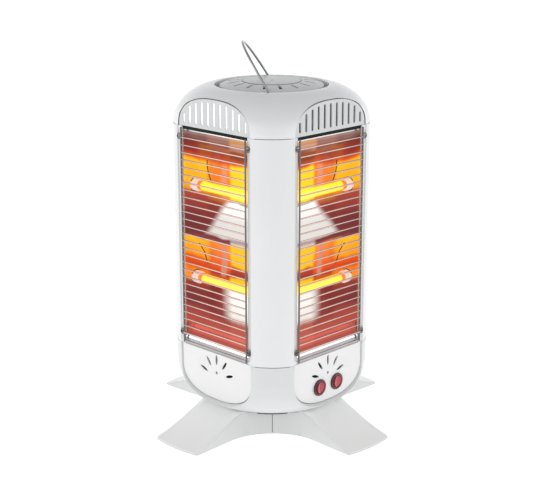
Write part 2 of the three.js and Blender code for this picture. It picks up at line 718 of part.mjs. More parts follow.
function makeDisc() {
  const outer = [];
  const inner = [];
  for (let i = 0; i <= 3; i += 1) {
    const t = i / 3;
    const r = DISC_INNER + 1 + t * (discRadius - DISC_INNER - 1);
    const z = discCrown - DISC_STEP - (discCrown - DISC_STEP - discRim) * t * t;
    outer.push([r, z]);
    if (i === 0 || i === 3) inner.push([Math.min(r, discRadius - WALL), z - WALL]);
  }
  const profile = [
    [DISC_HOLE, discCrown - WALL],
    [DISC_HOLE, discCrown],
    [DISC_INNER, discCrown],
    ...outer,
    [discRadius, grooveFloor + FIT],
    [discRadius - WALL, grooveFloor + FIT],
    ...inner.reverse(),
    [DISC_HOLE, discCrown - WALL],
  ];
  const slots = [];
  const half = DISC_SLOT_WIDTH / 2;
  const slotStart = DISC_INNER + DISC_SLOT_INSIDE;
  const slotEnd = discRadius - DISC_SLOT_OUTSIDE;
  const points = [
    [slotStart, 0],
    [slotStart + half, -half],
    [slotEnd - half, -half],
    [slotEnd, 0],
    [slotEnd - half, half],
    [slotStart + half, half],
  ];
  for (let i = 0; i < DISC_SLOTS; i += 1) {
    const slot = solid(upright(points, grooveFloor, discCrown + PAST));
    slots.push(slot.rotate([0, 0, 45 + (i + 0.5) * (360 / DISC_SLOTS)]));
  }
  return solid(turned(profile, ROUND_SIDES)).subtract(union(slots));
}

// Bail: half a ring of wire whose ends turn outwards into the pivot holes.
function makeBail() {
  const half = [];
  half.push([bailPinEnd, 0]);
  half.push([bailRadius + BAIL_BEND + 1, 0]);
  for (let i = 0; i <= 3; i += 1) {
    const angle = (Math.PI / 2) * (i / 3);
    half.push([
      bailRadius + BAIL_BEND - BAIL_BEND * Math.sin(angle),
      BAIL_BEND - BAIL_BEND * Math.cos(angle),
    ]);
  }
  const steps = 12;
  for (let i = 1; i < steps; i += 1) {
    const angle = (Math.PI / 2) * ((i + 0.3) / (steps + 0.3));
    half.push([bailRadius * Math.cos(angle), bailRadius * Math.sin(angle)]);
  }
  const line = [...half, [0, bailRadius], ...half.slice().reverse().map(([x, z]) => [-x, z])];
  const places = line.map(([x, z]) => new THREE.Vector3(x, 0, z));
  const path = new THREE.CatmullRomCurve3(places, false, 'centripetal');
  return wireAlong(path, BAIL_WIRE, 6, 38);
}

// ---------------------------------------------------------------- switches and bush

function makeSwitchBody(across) {
  const face = FACE_DEPTH;
  const profile = [
    [0, face - BARREL_DEPTH],
    [barrelRadius, face - BARREL_DEPTH],
    [barrelRadius, face + FIT],
    [BEZEL_RADIUS, face + FIT],
    [BEZEL_RADIUS, face + BEZEL_HEIGHT - 0.8],
    [BEZEL_RADIUS - 1, face + BEZEL_HEIGHT],
    [switchBore, face + BEZEL_HEIGHT],
    [switchBore, face - SWITCH_BORE_DEPTH],
    [0, face - SWITCH_BORE_DEPTH],
  ];
  return turnedOnFace(profile, 16, across, switchLevel);
}

function makeRocker() {
  const section = [
    [-rockerRadius - 1, -ROCKER_BACK],
    [rockerRadius + 1, -ROCKER_BACK],
    [rockerRadius + 1, ROCKER_FRONT],
    [0, ROCKER_WAIST],
    [-rockerRadius - 1, ROCKER_FRONT],
  ];
  const wedge = solid(upright(section.map(([x, d]) => [x, -d]), -rockerRadius - 1, rockerRadius + 1));
  const round = solid(turnedOnFace([
    [0, -ROCKER_BACK],
    [rockerRadius, -ROCKER_BACK],
    [rockerRadius, ROCKER_FRONT + 1],
    [0, ROCKER_FRONT + 1],
  ], 16, 0, 0));
  return wedge.intersect(round);
}

function makeBush() {
  const face = FACE_DEPTH;
  return turnedOnFace([
    [BUSH_BORE, face - BUSH_LENGTH + BUSH_FLANGE_HEIGHT],
    [BUSH_BARREL, face - BUSH_LENGTH + BUSH_FLANGE_HEIGHT],
    [BUSH_BARREL, face + FIT],
    [BUSH_FLANGE, face + FIT],
    [BUSH_FLANGE, face + BUSH_FLANGE_HEIGHT - 0.6],
    [BUSH_FLANGE - 0.8, face + BUSH_FLANGE_HEIGHT],
    [BUSH_BORE, face + BUSH_FLANGE_HEIGHT],
    [BUSH_BORE, face - BUSH_LENGTH + BUSH_FLANGE_HEIGHT],
  ], 12, 0, bushLevel);
}

// ---------------------------------------------------------------- foot

// Cross-shaped plan: four legs joined by round waists, drawn `inset` inside the real outline.
function footPlan(inset) {
  const reach = FOOT_REACH - inset;
  const tip = Math.asin((FOOT_TIP_HALF - inset) / reach);
  const rootHalf = FOOT_ROOT_HALF - inset;
  const near = (FOOT_WAIST - inset) / Math.SQRT2;
  const centre = (FOOT_ROOT ** 2 + rootHalf ** 2 - 2 * near ** 2) / (2 * (FOOT_ROOT + rootHalf - 2 * near));
  const waist = Math.SQRT2 * (centre - near);
  const from = Math.atan2(rootHalf - centre, FOOT_ROOT - centre);
  const sweep = -Math.PI / 2 - 2 * (from + Math.PI / 2);
  const points = [];
  for (let leg = 0; leg < 4; leg += 1) {
    const line = [];
    for (let i = 0; i <= 4; i += 1) {
      const angle = -tip + (2 * tip * i) / 4;
      line.push([reach * Math.cos(angle), reach * Math.sin(angle)]);
    }
    for (let i = 0; i <= 8; i += 1) {
      const angle = from + (sweep * i) / 8;
      line.push([centre + waist * Math.cos(angle), centre + waist * Math.sin(angle)]);
    }
    const [c, s] = [Math.round(Math.cos(leg * Math.PI / 2)), Math.round(Math.sin(leg * Math.PI / 2))];
    points.push(...line.map(([x, y]) => [c * x - s * y, s * x + c * y]));
  }
  return points;
}

// Top of the legs: a flat seat that sweeps down and out to thin tips.
function footProfile(inset) {
  const points = [];
  const rise = footHeight - FOOT_TIP_HEIGHT;
  for (let i = 0; i <= 6; i += 1) {
    const t = i / 6;
    const r = FOOT_SHOULDER + t * (FOOT_REACH - FOOT_SHOULDER);
    const drop = 0.55 * t + 0.45 * Math.sin(t * Math.PI / 2) ** 1.2;
    points.push([r, FOOT_TIP_HEIGHT + rise * (1 - drop) - inset]);
  }
  return points;
}

function makeFoot() {
  const low = FOOT_CLEAR;
  const skin = (inset, floor) => {
    const reach = FOOT_REACH - inset;
    const upper = footProfile(inset).map(([r, z]) => [Math.min(r, reach), Math.max(z, floor + 0.2)]);
    const profile = [[0, floor], [reach, floor], ...upper.reverse(), [0, footHeight - inset]];
    const plan = upright(footPlan(inset), floor - PAST, footHeight + PAST);
    return solid(turned(profile, ROUND_SIDES)).intersect(solid(plan));
  };
  const outer = skin(0, low);
  const hollow = skin(FOOT_WALL, low - 0.5);
  const bosses = [0, 1, 2, 3].map((leg) => {
    const ends = [PAD_HEIGHT + FIT, footHeight].map((level) => [padReach, 0, level]);
    const post = bar(...ends, PAD_RADIUS + BOSS_MARGIN, 12);
    return solid(post.rotateZ(leg * Math.PI / 2)).intersect(outer);
  });
  return union([outer.subtract(hollow), ...bosses]);
}

// One half of the foot, on the given side of the diagonal through the front and back waists.
function footHalf(foot, side) {
  const size = 2 * FOOT_REACH;
  const block = new THREE.BoxGeometry(2 * size, size, size);
  block.translate(0, side * (size / 2 + FOOT_SEAM / 2), 0).rotateZ(Math.PI / 4);
  return foot.intersect(solid(block));
}

// ---------------------------------------------------------------- materials

const white = () => new THREE.MeshStandardMaterial({ color: 0xf1f2f2, roughness: 0.22, metalness: 0 });
const panelWhite = () => new THREE.MeshStandardMaterial({ color: 0xf3f0ef, roughness: 0.3, metalness: 0 });
const paleGrey = () => new THREE.MeshStandardMaterial({ color: 0xd9dcdc, roughness: 0.35, metalness: 0 });
const footWhite = () => new THREE.MeshStandardMaterial({ color: 0xe2e4e3, roughness: 0.35, metalness: 0 });
const chrome = () => new THREE.MeshStandardMaterial({ color: 0xc9cbcd, roughness: 0.15, metalness: 1 });
const polished = () => new THREE.MeshStandardMaterial({ color: 0xe0dcd6, roughness: 0.12, metalness: 1 });
const steel = () => new THREE.MeshStandardMaterial({ color: 0xa9abad, roughness: 0.4, metalness: 1 });
const glow = () => new THREE.MeshStandardMaterial({
  color: 0xffb638, roughness: 0.15, metalness: 0, emissive: 0xff8a10,
});
const black = () => new THREE.MeshStandardMaterial({ color: 0x141414, roughness: 0.35, metalness: 0 });
const red = () => new THREE.MeshStandardMaterial({ color: 0xb3122a, roughness: 0.2, metalness: 0 });
const rubber = () => new THREE.MeshStandardMaterial({ color: 0x2a2a2a, roughness: 0.8, metalness: 0 });

// ---------------------------------------------------------------- assembly

const heater = new THREE.Group();

function add(parent, name, geometry, material) {
  const mesh = new THREE.Mesh(geometry, material);
  mesh.name = name;
  parent.add(mesh);
  return mesh;
}

const foot = makeFoot();
add(heater, 'foot_half_left', geometryOf(footHalf(foot, 1)), footWhite());
add(heater, 'foot_half_right', geometryOf(footHalf(foot, -1)), footWhite());
for (const [leg, name] of ['right', 'back', 'left', 'front'].entries()) {
  const pad = new THREE.CylinderGeometry(PAD_RADIUS, PAD_RADIUS, PAD_HEIGHT, 10).rotateX(Math.PI / 2);
  const mesh = add(heater, `foot_pad_${name}`, pad, rubber());
  const angle = leg * Math.PI / 2;
  mesh.position.set(padReach * Math.cos(angle), padReach * Math.sin(angle), PAD_HEIGHT / 2);
}

add(heater, 'lower_moulding', geometryOf(makeLowerMoulding()), white());
add(heater, 'top_cap', geometryOf(makeTopCap()), white());
add(heater, 'deck_lower', makeDeck(deckLow), steel());
add(heater, 'deck_upper', makeDeck(chamberTop + FIT), steel());
add(heater, 'top_vent_disc', geometryOf(makeDisc()), paleGrey());

const postGeometry = geometryOf(makePost());
for (const [corner, name] of ['back_right', 'back_left', 'front_left', 'front_right'].entries()) {
  const mesh = add(heater, `corner_post_${name}`, postGeometry, white());
  mesh.rotation.z = corner * Math.PI / 2;
}

const ventGeometry = makeArchVent();
const guardGeometry = geometryOf(makeGuard());
const reflectorGeometry = makeReflector();
const plateGeometry = makeEndPlate();
const lampGeometry = geometryOf(solid(makeLamp()));
const sillGeometry = makeSill();
const panelHoles = {
  front: [-1, 1].map((side) => ring(side * SWITCH_SPACING, switchLevel, barrelRadius + FIT, 16)),
  left: [],
  back: [ring(0, bushLevel, BUSH_BARREL + FIT, 12)],
  right: [],
};

for (const [side, name] of SIDES.entries()) {
  const face = new THREE.Group();
  face.rotation.z = -side * Math.PI / 2;
  heater.add(face);
  add(face, `arch_vent_${name}`, ventGeometry, paleGrey());
  const panelName = name === 'front' ? 'control_panel_front' : `lower_panel_${name}`;
  add(face, panelName, makeLowerPanel(panelHoles[name]), panelWhite());
  add(face, `sill_${name}`, sillGeometry, chrome());
  add(face, `wire_guard_${name}`, guardGeometry, chrome());
  add(face, `reflector_${name}`, reflectorGeometry, polished());
  for (const [i, level] of lampLevels.entries()) {
    const lamp = add(face, `lamp_${['lower', 'upper'][i]}_${name}`, lampGeometry, glow());
    lamp.position.set(0, -lampDepth, level);
  }
  add(face, `end_plate_${name}_a`, plateGeometry, polished());
  const other = add(face, `end_plate_${name}_b`, plateGeometry, polished());
  other.position.x = 2 * plateFace + PLATE;
  if (name === 'front') {
    for (const [i, across] of [-SWITCH_SPACING, SWITCH_SPACING].entries()) {
      const label = ['left', 'right'][i];
      add(face, `switch_body_${label}`, makeSwitchBody(across), black());
      const rocker = add(face, `switch_rocker_${label}`, geometryOf(makeRocker()), red());
      rocker.position.set(across, -FACE_DEPTH - ROCKER_PIVOT, switchLevel);
      rocker.rotation.z = rad(ROCKER_THROW);
    }
  }
  if (name === 'back') add(face, 'cord_bush', makeBush(), black());
}

const bailFrame = new THREE.Group();
bailFrame.position.z = bailLevel;
bailFrame.rotation.z = Math.PI / 4;
heater.add(bailFrame);
const bail = add(bailFrame, 'carry_bail', makeBail(), chrome());
bail.rotation.x = -rad(BAIL_TILT);

export default heater;
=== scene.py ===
from math import asin, atan2, cos, hypot, pi, radians, sin, sqrt

import bmesh
import bpy
from mathutils import Matrix, Vector


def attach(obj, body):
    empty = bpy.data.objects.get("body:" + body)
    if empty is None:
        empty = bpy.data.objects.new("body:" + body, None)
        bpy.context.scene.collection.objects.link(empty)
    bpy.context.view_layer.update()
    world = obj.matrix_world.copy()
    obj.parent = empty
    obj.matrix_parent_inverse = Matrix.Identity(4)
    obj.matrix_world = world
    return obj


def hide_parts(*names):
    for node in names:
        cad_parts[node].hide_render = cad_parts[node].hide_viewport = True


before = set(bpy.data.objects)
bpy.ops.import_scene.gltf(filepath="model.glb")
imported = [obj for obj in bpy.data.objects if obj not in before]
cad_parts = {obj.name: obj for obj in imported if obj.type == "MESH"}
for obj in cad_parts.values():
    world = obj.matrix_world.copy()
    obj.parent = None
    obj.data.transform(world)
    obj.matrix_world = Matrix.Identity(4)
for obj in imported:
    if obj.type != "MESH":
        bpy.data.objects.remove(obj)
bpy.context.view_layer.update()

# Lengths are in millimetres and are turned into metres when a mesh is made.
MM = 0.001
ROOT = "heater_body"
SIDES = ["front", "left", "back", "right"]

# ---------------------------------------------------------------- sizes of the solids
BODY_HALF, CORNER, WALL, FIT = 109.0, 62.0, 2.5, 0.3
FACE = 104.0
SLOT_HALF, SLOT_HEAD, SLOT_FOOT, SLOT_RISE, SLOT_POWER = 65.5, 408.0, 85.0, 39.0, 2.4
POST_BOTTOM, POST_TOP = 111.0, 406.8
PANEL_TOP, VENT_BOTTOM = POST_BOTTOM - FIT / 2, POST_TOP + FIT / 2
WINDOW_HALF = 60.0
DIAGONAL = sqrt(2) * (BODY_HALF - CORNER) + CORNER
INNER_HALF = FACE - WALL - 0.5
INNER_CORNER = (sqrt(2) * INNER_HALF - (DIAGONAL - WALL)) / (sqrt(2) - 1)
LAMPS = {"lower": 200.0, "upper": 326.0}
LAMP_DEPTH = 82.0
TROUGH_BACK, TROUGH_DISH, TROUGH_HALF, SHEET = 66.0, 31.5, 61.0, 0.8
LIT_BEHIND = 3.5
CHAMBER_TOP, CHAMBER_BOTTOM = 402.0, 110.65
GUARD_DEPTH, ROD_SPACING, HOOK_SPACING = 106.5, 59.0, 63.4
ROD_RADIUS, WIRE_RADIUS, BAR_RADIUS, EYE_RADIUS, EYE_WIRE = 1.2, 1.0, 1.75, 3.4, 0.75
WIRE_FIRST, WIRE_PITCH, WIRE_COUNT, BAR_LEVEL = 137.2, 9.8, 27, 126.8
BAIL_LEVEL, BAIL_RADIUS, BAIL_TILT = 449.3, 71.0, 32.0
SWITCH_LEVEL, SWITCH_SPACING = 67.5, 16.5
FAN_LEVEL = 76.5
BUSH_LEVEL = 60.0
PAD_REACH = 150.0
FAR = 500.0


# ---------------------------------------------------------------- mesh helpers
class Build:
    """Vertices and faces of one piece, gathered from simple parts."""

    def __init__(self):
        self.verts, self.faces, self.slots = [], [], []

    def add(self, verts, faces, slot=0, move=None):
        base = len(self.verts)
        if move is not None:
            verts = [move @ Vector(v) for v in verts]
        self.verts += [tuple(v) for v in verts]
        self.faces += [[base + i for i in f] for f in faces]
        self.slots += [slot] * len(faces)
        return self

    def mesh(self, name, angle=35.0, turn=0):
        mesh = bpy.data.meshes.new(name)
        mesh.from_pydata([(x * MM, y * MM, z * MM) for x, y, z in self.verts], [], self.faces)
        mesh.polygons.foreach_set("material_index", self.slots)
        finish_mesh(mesh, angle)
        mesh.transform(quarter(-turn))
        return mesh


def finish_mesh(mesh, angle=35.0):
    """Outward faces, smooth shading, and sharp edges over the given angle."""
    bm = bmesh.new()
    bm.from_mesh(mesh)
    bmesh.ops.remove_doubles(bm, verts=bm.verts, dist=2e-6)
    bmesh.ops.recalc_face_normals(bm, faces=bm.faces)
    for face in bm.faces:
        face.smooth = True
    for edge in bm.edges:
        edge.smooth = len(edge.link_faces) == 2 and edge.calc_face_angle(0.0) < radians(angle)
    bm.to_mesh(mesh)
    bm.free()


def quarter(turns):
    return Matrix.Rotation(turns * pi / 2, 4, "Z")


TO_FRONT = Matrix.Rotation(pi / 2, 4, "X")  # what points up then points out of the front


def paint(mesh, rule):
    """Give each face the material number that the rule works out from its centre and normal."""
    for face in mesh.polygons:
        face.material_index = int(rule(*(face.center / MM), face.normal))


def linked(name, data):
    obj = bpy.data.objects.new(name, data)
    bpy.context.scene.collection.objects.link(obj)
    return obj


def evaluated_mesh(obj):
    evaluated = obj.evaluated_get(bpy.context.evaluated_depsgraph_get())
    return bpy.data.meshes.new_from_object(evaluated)


def place(name, mesh, materials, replaces=(), body=ROOT):
    """Make a mesh a piece of the heater."""
    obj = linked(name, mesh)
    for look in materials:
        mesh.materials.append(look)
    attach(obj, body)
    if replaces:
        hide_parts(*replaces)


def grid(rows, wrap=True):
    """Quads between rows of points. Each row is closed; wrap joins the last row to the first."""
    n = len(rows[0])
    verts = [p for row in rows for p in row]
    faces = []
    for r in range(len(rows) if wrap else len(rows) - 1):
        s = (r + 1) % len(rows)
        for i in range(n):
            j = (i + 1) % n
            faces.append([r * n + i, r * n + j, s * n + j, s * n + i])
    return verts, faces


def prism(rows):
    """Quads between rows of points, closed at both ends."""
    verts, faces = grid(rows, False)
    n = len(rows[0])
    return verts, faces + [list(range(n)), [len(verts) - n + i for i in range(n)]]


def circle(radius, z, sides):
    return [(radius * cos(2 * pi * i / sides), radius * sin(2 * pi * i / sides), z) for i in range(sides)]


def lathe(profile, sides=96):
    """Closed or axis-to-axis profile of (radius, height) turned about Z."""
    wrap = profile[0][0] > 1e-6 and profile[-1][0] > 1e-6
    return grid([circle(r, z, sides) for r, z in profile], wrap)


def tube(path, radius, sides=12, round_ends=True):
    """Round wire along a list of points, with domed ends."""
    points = [Vector(p) for p in path]
    tangents = []
    for i in range(len(points)):
        a, b = points[max(i - 1, 0)], points[min(i + 1, len(points) - 1)]
        tangents.append((b - a).normalized())
    up = Vector((0, 0, 1)) if abs(tangents[0].z) < 0.9 else Vector((1, 0, 0))
    side = tangents[0].cross(up).normalized()
    stations = [(point, tangent, radius) for point, tangent in zip(points, tangents)]
    if round_ends:
        dome = [(0.0, 0.02), (0.08, 0.4), (0.3, 0.75), (0.62, 0.95), (1.0, 1.0)]
        first = [(points[0] + tangents[0] * radius * a, tangents[0], radius * b) for a, b in dome]
        last = [(points[-1] - tangents[-1] * radius * a, tangents[-1], radius * b) for a, b in dome]
        stations = first + stations[1:-1] + last[::-1]
    rows = []
    for point, tangent, r in stations:
        side = (side - tangent * side.dot(tangent)).normalized()
        other = tangent.cross(side)
        rows.append([point + (side * cos(2 * pi * i / sides) + other * sin(2 * pi * i / sides)) * r
                     for i in range(sides)])
    return prism(rows)


def torus(radius, wire, sides=28, around=10):
    """Ring of round wire lying in XY."""
    rows = []
    for i in range(sides):
        c, s = cos(2 * pi * i / sides), sin(2 * pi * i / sides)
        rows.append([((radius + p) * c, (radius + p) * s, q) for p, q, _ in circle(wire, 0, around)])
    return grid(rows)


def plate(loops, thickness, bevel, resolution=2):
    """Flat plate with holes and rounded edges, lying in XY and centred on Z = 0."""
    curve = bpy.data.curves.new("plate", "CURVE")
    curve.dimensions = "2D"
    curve.fill_mode = "BOTH"
    curve.extrude = (thickness / 2 - bevel) * MM
    curve.bevel_depth = bevel * MM
    curve.bevel_resolution = resolution
    curve.offset = -bevel * MM
    for loop in loops:
        spline = curve.splines.new("POLY")
        spline.points.add(len(loop) - 1)
        for point, (x, y) in zip(spline.points, loop):
            point.co = (x * MM, y * MM, 0, 1)
        spline.use_cyclic_u = True
    holder = linked("plate", curve)
    mesh = evaluated_mesh(holder)
    bpy.data.objects.remove(holder)
    bpy.data.curves.remove(curve)
    return mesh


def stand(depth=0.0):
    """Turns a plate drawn as (across, up) upright, facing front, with its middle at the depth."""
    return Matrix(((1, 0, 0, 0), (0, 0, -1, -depth * MM), (0, 1, 0, 0), (0, 0, 0, 1)))


def face_plate(name, loops, thickness, bevel, depth, turn, look, replaces=(), resolution=0, angle=35):
    """Piece made of a plate that is drawn as (across, up) and set on one side of the tower."""
    mesh = plate(loops, thickness, bevel, resolution)
    mesh.transform(quarter(-turn) @ stand(depth))
    finish_mesh(mesh, angle)
    place(name, mesh, [look], replaces)


def boolean(mesh, cutters, operation="DIFFERENCE"):
    """A mesh cut by others, or what it shares with them."""
    base = linked("base", mesh)
    tools = [linked("tool", cutter) for cutter in cutters]
    for tool in tools:
        modifier = base.modifiers.new("cut", "BOOLEAN")
        modifier.operation = operation
        modifier.solver = "EXACT"
        modifier.object = tool
    result = evaluated_mesh(base)
    for item in tools + [base]:
        bpy.data.objects.remove(item)
    return result


def ellipse(x, y, a, b, angle=0.0, steps=28):
    c, s = cos(angle), sin(angle)
    points = []
    for i in range(steps):
        p, q = a * cos(2 * pi * i / steps), b * sin(2 * pi * i / steps)
        points.append((x + p * c - q * s, y + p * s + q * c))
    return points


def stadium(x, low, high, half, steps=6):
    """Upright slot with round ends."""
    points = []
    for start, centre in ((0, high - half), (pi, low + half)):
        for i in range(steps + 1):
            a = start + pi * i / steps
            points.append((x + half * cos(a), centre + half * sin(a)))
    return points


def arch(half, rise, steps=48):
    """Half a superellipse, the outline of a recess's round end."""
    points = []
    for i in range(steps + 1):
        a = pi * i / steps
        c, s = cos(a), max(sin(a), 0.0)
        x = half * (1 if c > 0 else -1) * abs(c) ** (2 / SLOT_POWER)
        points.append((x, rise * s ** (2 / SLOT_POWER)))
    return points


def plan_radius(angle, half, corner):
    """Radius of a rounded square in a direction."""
    a = angle % (pi / 2)
    a = min(a, pi / 2 - a)
    c, s = cos(a), sin(a)
    k = half - corner
    flat = half / c
    if flat * s <= k:
        return flat
    return k * (c + s) + sqrt(max(k * k * (c + s) ** 2 - 2 * k * k + corner * corner, 0.0))


def soft_min(a, b, k):
    """The smaller of two values, rounded over where they differ by less than k."""
    if k <= 0:
        return min(a, b)
    h = max(k - abs(a - b), 0.0) / k
    return min(a, b) - h * h * k / 4


def smooth(x):
    x = min(max(x, 0.0), 1.0)
    return x * x * (3 - 2 * x)


# ---------------------------------------------------------------- materials
def set_inputs(node, values):
    for key, value in values.items():
        node.inputs[key].default_value = value


def add_node(tree, kind, values=None, **settings):
    """New shader node with its settings and its input values."""
    node = tree.nodes.new("ShaderNode" + kind)
    for key, value in settings.items():
        setattr(node, key, value)
    set_inputs(node, values or {})
    return node


def add_ramp(tree, stops, source):
    """Colours of a ramp through (position, colour) stops."""
    node = add_node(tree, "ValToRGB")
    elements = node.color_ramp.elements
    elements.remove(elements[-1])
    elements[0].position = stops[0][0]
    elements[0].color = (*stops[0][1], 1)
    for position, color in stops[1:]:
        elements.new(position).color = (*color, 1)
    tree.links.new(source, node.inputs["Fac"])
    return node.outputs["Color"]


def add_bump(tree, height, strength, distance):
    node = add_node(tree, "Bump", {"Strength": strength, "Distance": distance})
    tree.links.new(height, node.inputs["Height"])
    tree.links.new(node.outputs["Normal"], tree.nodes["Principled BSDF"].inputs["Normal"])


def new_material(name):
    """Material, its node tree and shader, and a maker of noise that is fixed to the object."""
    mat = bpy.data.materials.new(name)
    mat.use_nodes = True
    tree = mat.node_tree
    where = add_node(tree, "TexCoord").outputs["Object"]

    def noise(scale, detail=2, output="Fac"):
        node = add_node(tree, "TexNoise", {"Scale": scale, "Detail": detail})
        tree.links.new(where, node.inputs["Vector"])
        return node.outputs[output]

    return mat, tree, tree.nodes["Principled BSDF"], noise


def material(name, color, rough, metallic=0.0, coat=0.0, spread=0.03, rough_spread=0.06,
             bump=0.05, bump_scale=900.0, tone_scale=14.0, emission=None, strength=0.0):
    """Surface with slow colour drift, varied gloss and a fine grain."""
    mat, tree, shader, noise = new_material(name)
    low = [max(c * (1 - spread), 0) for c in color]
    high = [min(c * (1 + spread), 1) for c in color]
    drift = add_ramp(tree, [(0.3, low), (0.7, high)], noise(tone_scale, 3))
    tree.links.new(drift, shader.inputs["Base Color"])
    gloss = add_node(tree, "MapRange", {"To Min": max(rough - rough_spread, 0.02),
                                        "To Max": rough + rough_spread})
    tree.links.new(noise(tone_scale * 5, 4), gloss.inputs["Value"])
    tree.links.new(gloss.outputs["Result"], shader.inputs["Roughness"])
    add_bump(tree, noise(bump_scale), bump, 0.0002)
    set_inputs(shader, {"Metallic": metallic, "Coat Weight": coat, "Coat Roughness": 0.06})
    if emission:
        set_inputs(shader, {"Emission Color": (*emission, 1), "Emission Strength": strength})
    return mat


GLOSSY = dict(coat=0.35, spread=0.012, bump=0.04, bump_scale=500)
SATIN = dict(coat=0.15, spread=0.02, bump=0.08, bump_scale=1300)
COARSE = dict(spread=0.015, bump=0.07, bump_scale=1200)
PLATED = dict(metallic=1.0, rough_spread=0.05, bump=0.03, bump_scale=700, tone_scale=60)
ROLLED = dict(metallic=1.0, rough_spread=0.08, bump=0.06, bump_scale=400, tone_scale=30)
GRAIN = dict(bump=0.04, tone_scale=90)
LIGHT = (1.0, 1.0, 1.0)

WHITE = material("white_moulding", (0.825, 0.833, 0.838), 0.24, **GLOSSY)
PANEL = material("panel_moulding", (0.88, 0.876, 0.878), 0.33, coat=0.15, spread=0.012, bump=0.12,
                 bump_scale=1600)
VENT = material("vent_moulding", (0.64, 0.655, 0.655), 0.34, **SATIN)
DISC = material("disc_moulding", (0.62, 0.63, 0.63), 0.34, **SATIN)
# The foot is one white moulding: its tops glow a little as painted light and its walls are darker as painted
# shade.
FOOT_PAINTED_LIGHT = material("foot_top_painted_light", (0.84, 0.85, 0.848), 0.33, coat=0.2, emission=LIGHT, strength=0.12, **COARSE)
FOOT_WALL_PAINTED_SHADE = material("foot_wall_painted_shade", (0.71, 0.72, 0.718), 0.36, coat=0.15, **COARSE)
# The lower moulding is the same white made darker: painted shade on the bowl.
LOWER_SHADED_WHITE = material("lower_moulding_painted_shade", (0.745, 0.753, 0.757), 0.24, **GLOSSY)
# Flares round the recesses are a brighter white that glows a little: a painted highlight.
FLARE_HIGHLIGHT = material("flare_painted_highlight", (0.93, 0.935, 0.94), 0.24, emission=LIGHT, strength=0.10, **GLOSSY)
# Dark lines set in the joints between white parts: painted shade in the gaps.
JOINT_SHADE = material("joint_painted_shade", (0.20, 0.20, 0.205), 0.6, spread=0.1, bump=0.1)
# One chrome plating in two tones: warm and light on the wires as a painted reflection, dark on the rods as
# painted shade.
CHROME_PAINTED_REFLECTION = material("chrome_wire_painted_reflection", (0.56, 0.43, 0.40), 0.13, spread=0.05, **PLATED)
ROD_CHROME_PAINTED_SHADE = material("chrome_rod_painted_shade", (0.17, 0.165, 0.17), 0.14, spread=0.08, **PLATED)
# The sill's rolled metal in two tones: upper faces light as a painted highlight, lower faces darker as painted
# shade.
SILL_HIGHLIGHT = material("sill_skin", (0.66, 0.67, 0.69), 0.2, spread=0.06, **ROLLED)
SILL_SHADE = material("sill_low_painted_shade", (0.46, 0.43, 0.435), 0.24, spread=0.08, **ROLLED)
BAIL_CHROME = material("bail_skin", (0.40, 0.40, 0.41), 0.12, spread=0.06, **PLATED)
STEEL = material("deck_skin", (0.42, 0.43, 0.44), 0.42, metallic=1.0, spread=0.12, rough_spread=0.12,
                 bump=0.1, bump_scale=300, tone_scale=40)
BLACK = material("black_moulding", (0.012, 0.012, 0.013), 0.28, coat=0.4, spread=0.15)
# Black sheets behind openings and along the window's top edge: painted shade.
SHADOW = material("shade_sheet", (0.006, 0.006, 0.006), 0.9, spread=0.3, rough_spread=0.05, bump=0.3)
# Dark sheets and rings set in gaps and holes: painted shade.
GAP_SHADE = material("gap_painted_shade", (0.10, 0.10, 0.105), 0.7, spread=0.1, bump=0.1)
# The inside of the white cap is darkened: painted shade.
INSIDE_SHADE = material("cap_inside_painted_shade", (0.16, 0.16, 0.165), 0.6, spread=0.05, bump=0.1)
# Sheets behind the vent slots: a glowing pale one as painted light, a dark one as painted shade.
LINER_PAINTED_LIGHT = material("liner_painted_light", (0.86, 0.87, 0.87), 0.5, spread=0.02, emission=LIGHT, strength=0.85)
LINER_PAINTED_SHADE = material("liner_painted_shade", (0.05, 0.05, 0.052), 0.7, spread=0.1, bump=0.1)
RUBBER = material("pad_skin", (0.02, 0.02, 0.02), 0.8, spread=0.25, bump=0.35, bump_scale=1800)
# The ceramic lamp ends glow a little: painted light from the lamps.
CERAMIC_GLOW = material("ceramic_painted_glow", (0.85, 0.80, 0.78), 0.45, spread=0.05, bump=0.15,
                   emission=(1.0, 0.78, 0.72), strength=0.38)
CLIP = material("clip_skin", (0.012, 0.012, 0.012), 0.5, spread=0.2, bump=0.1)
GLOW = material("tube_glow", (0.9, 0.5, 0.05), 0.25, coat=0.6, spread=0.08,
                emission=(1.0, 0.62, 0.03), strength=1.15, **GRAIN)
GLOW_END = material("tube_end_glow", (0.8, 0.2, 0.05), 0.3, coat=0.5, spread=0.2,
                    emission=(1.0, 0.22, 0.03), strength=0.7, **GRAIN)
RED = material("rocker_red", (0.30, 0.008, 0.02), 0.18, coat=0.6, spread=0.1, bump=0.03,
               emission=(0.8, 0.02, 0.04), strength=0.05)
RED_LIT = material("rocker_lit", (0.62, 0.015, 0.04), 0.18, coat=0.6, spread=0.1, bump=0.03,
                   emission=(1.0, 0.03, 0.07), strength=0.14)


def srgb(r, g, b):
    out = []
    for v in (r, g, b):
        v /= 255
        out.append(v / 12.92 if v <= 0.04045 else ((v + 0.055) / 1.055) ** 2.4)
    return tuple(out)


def level(z):
    return (z - CHAMBER_BOTTOM) / (CHAMBER_TOP - CHAMBER_BOTTOM)


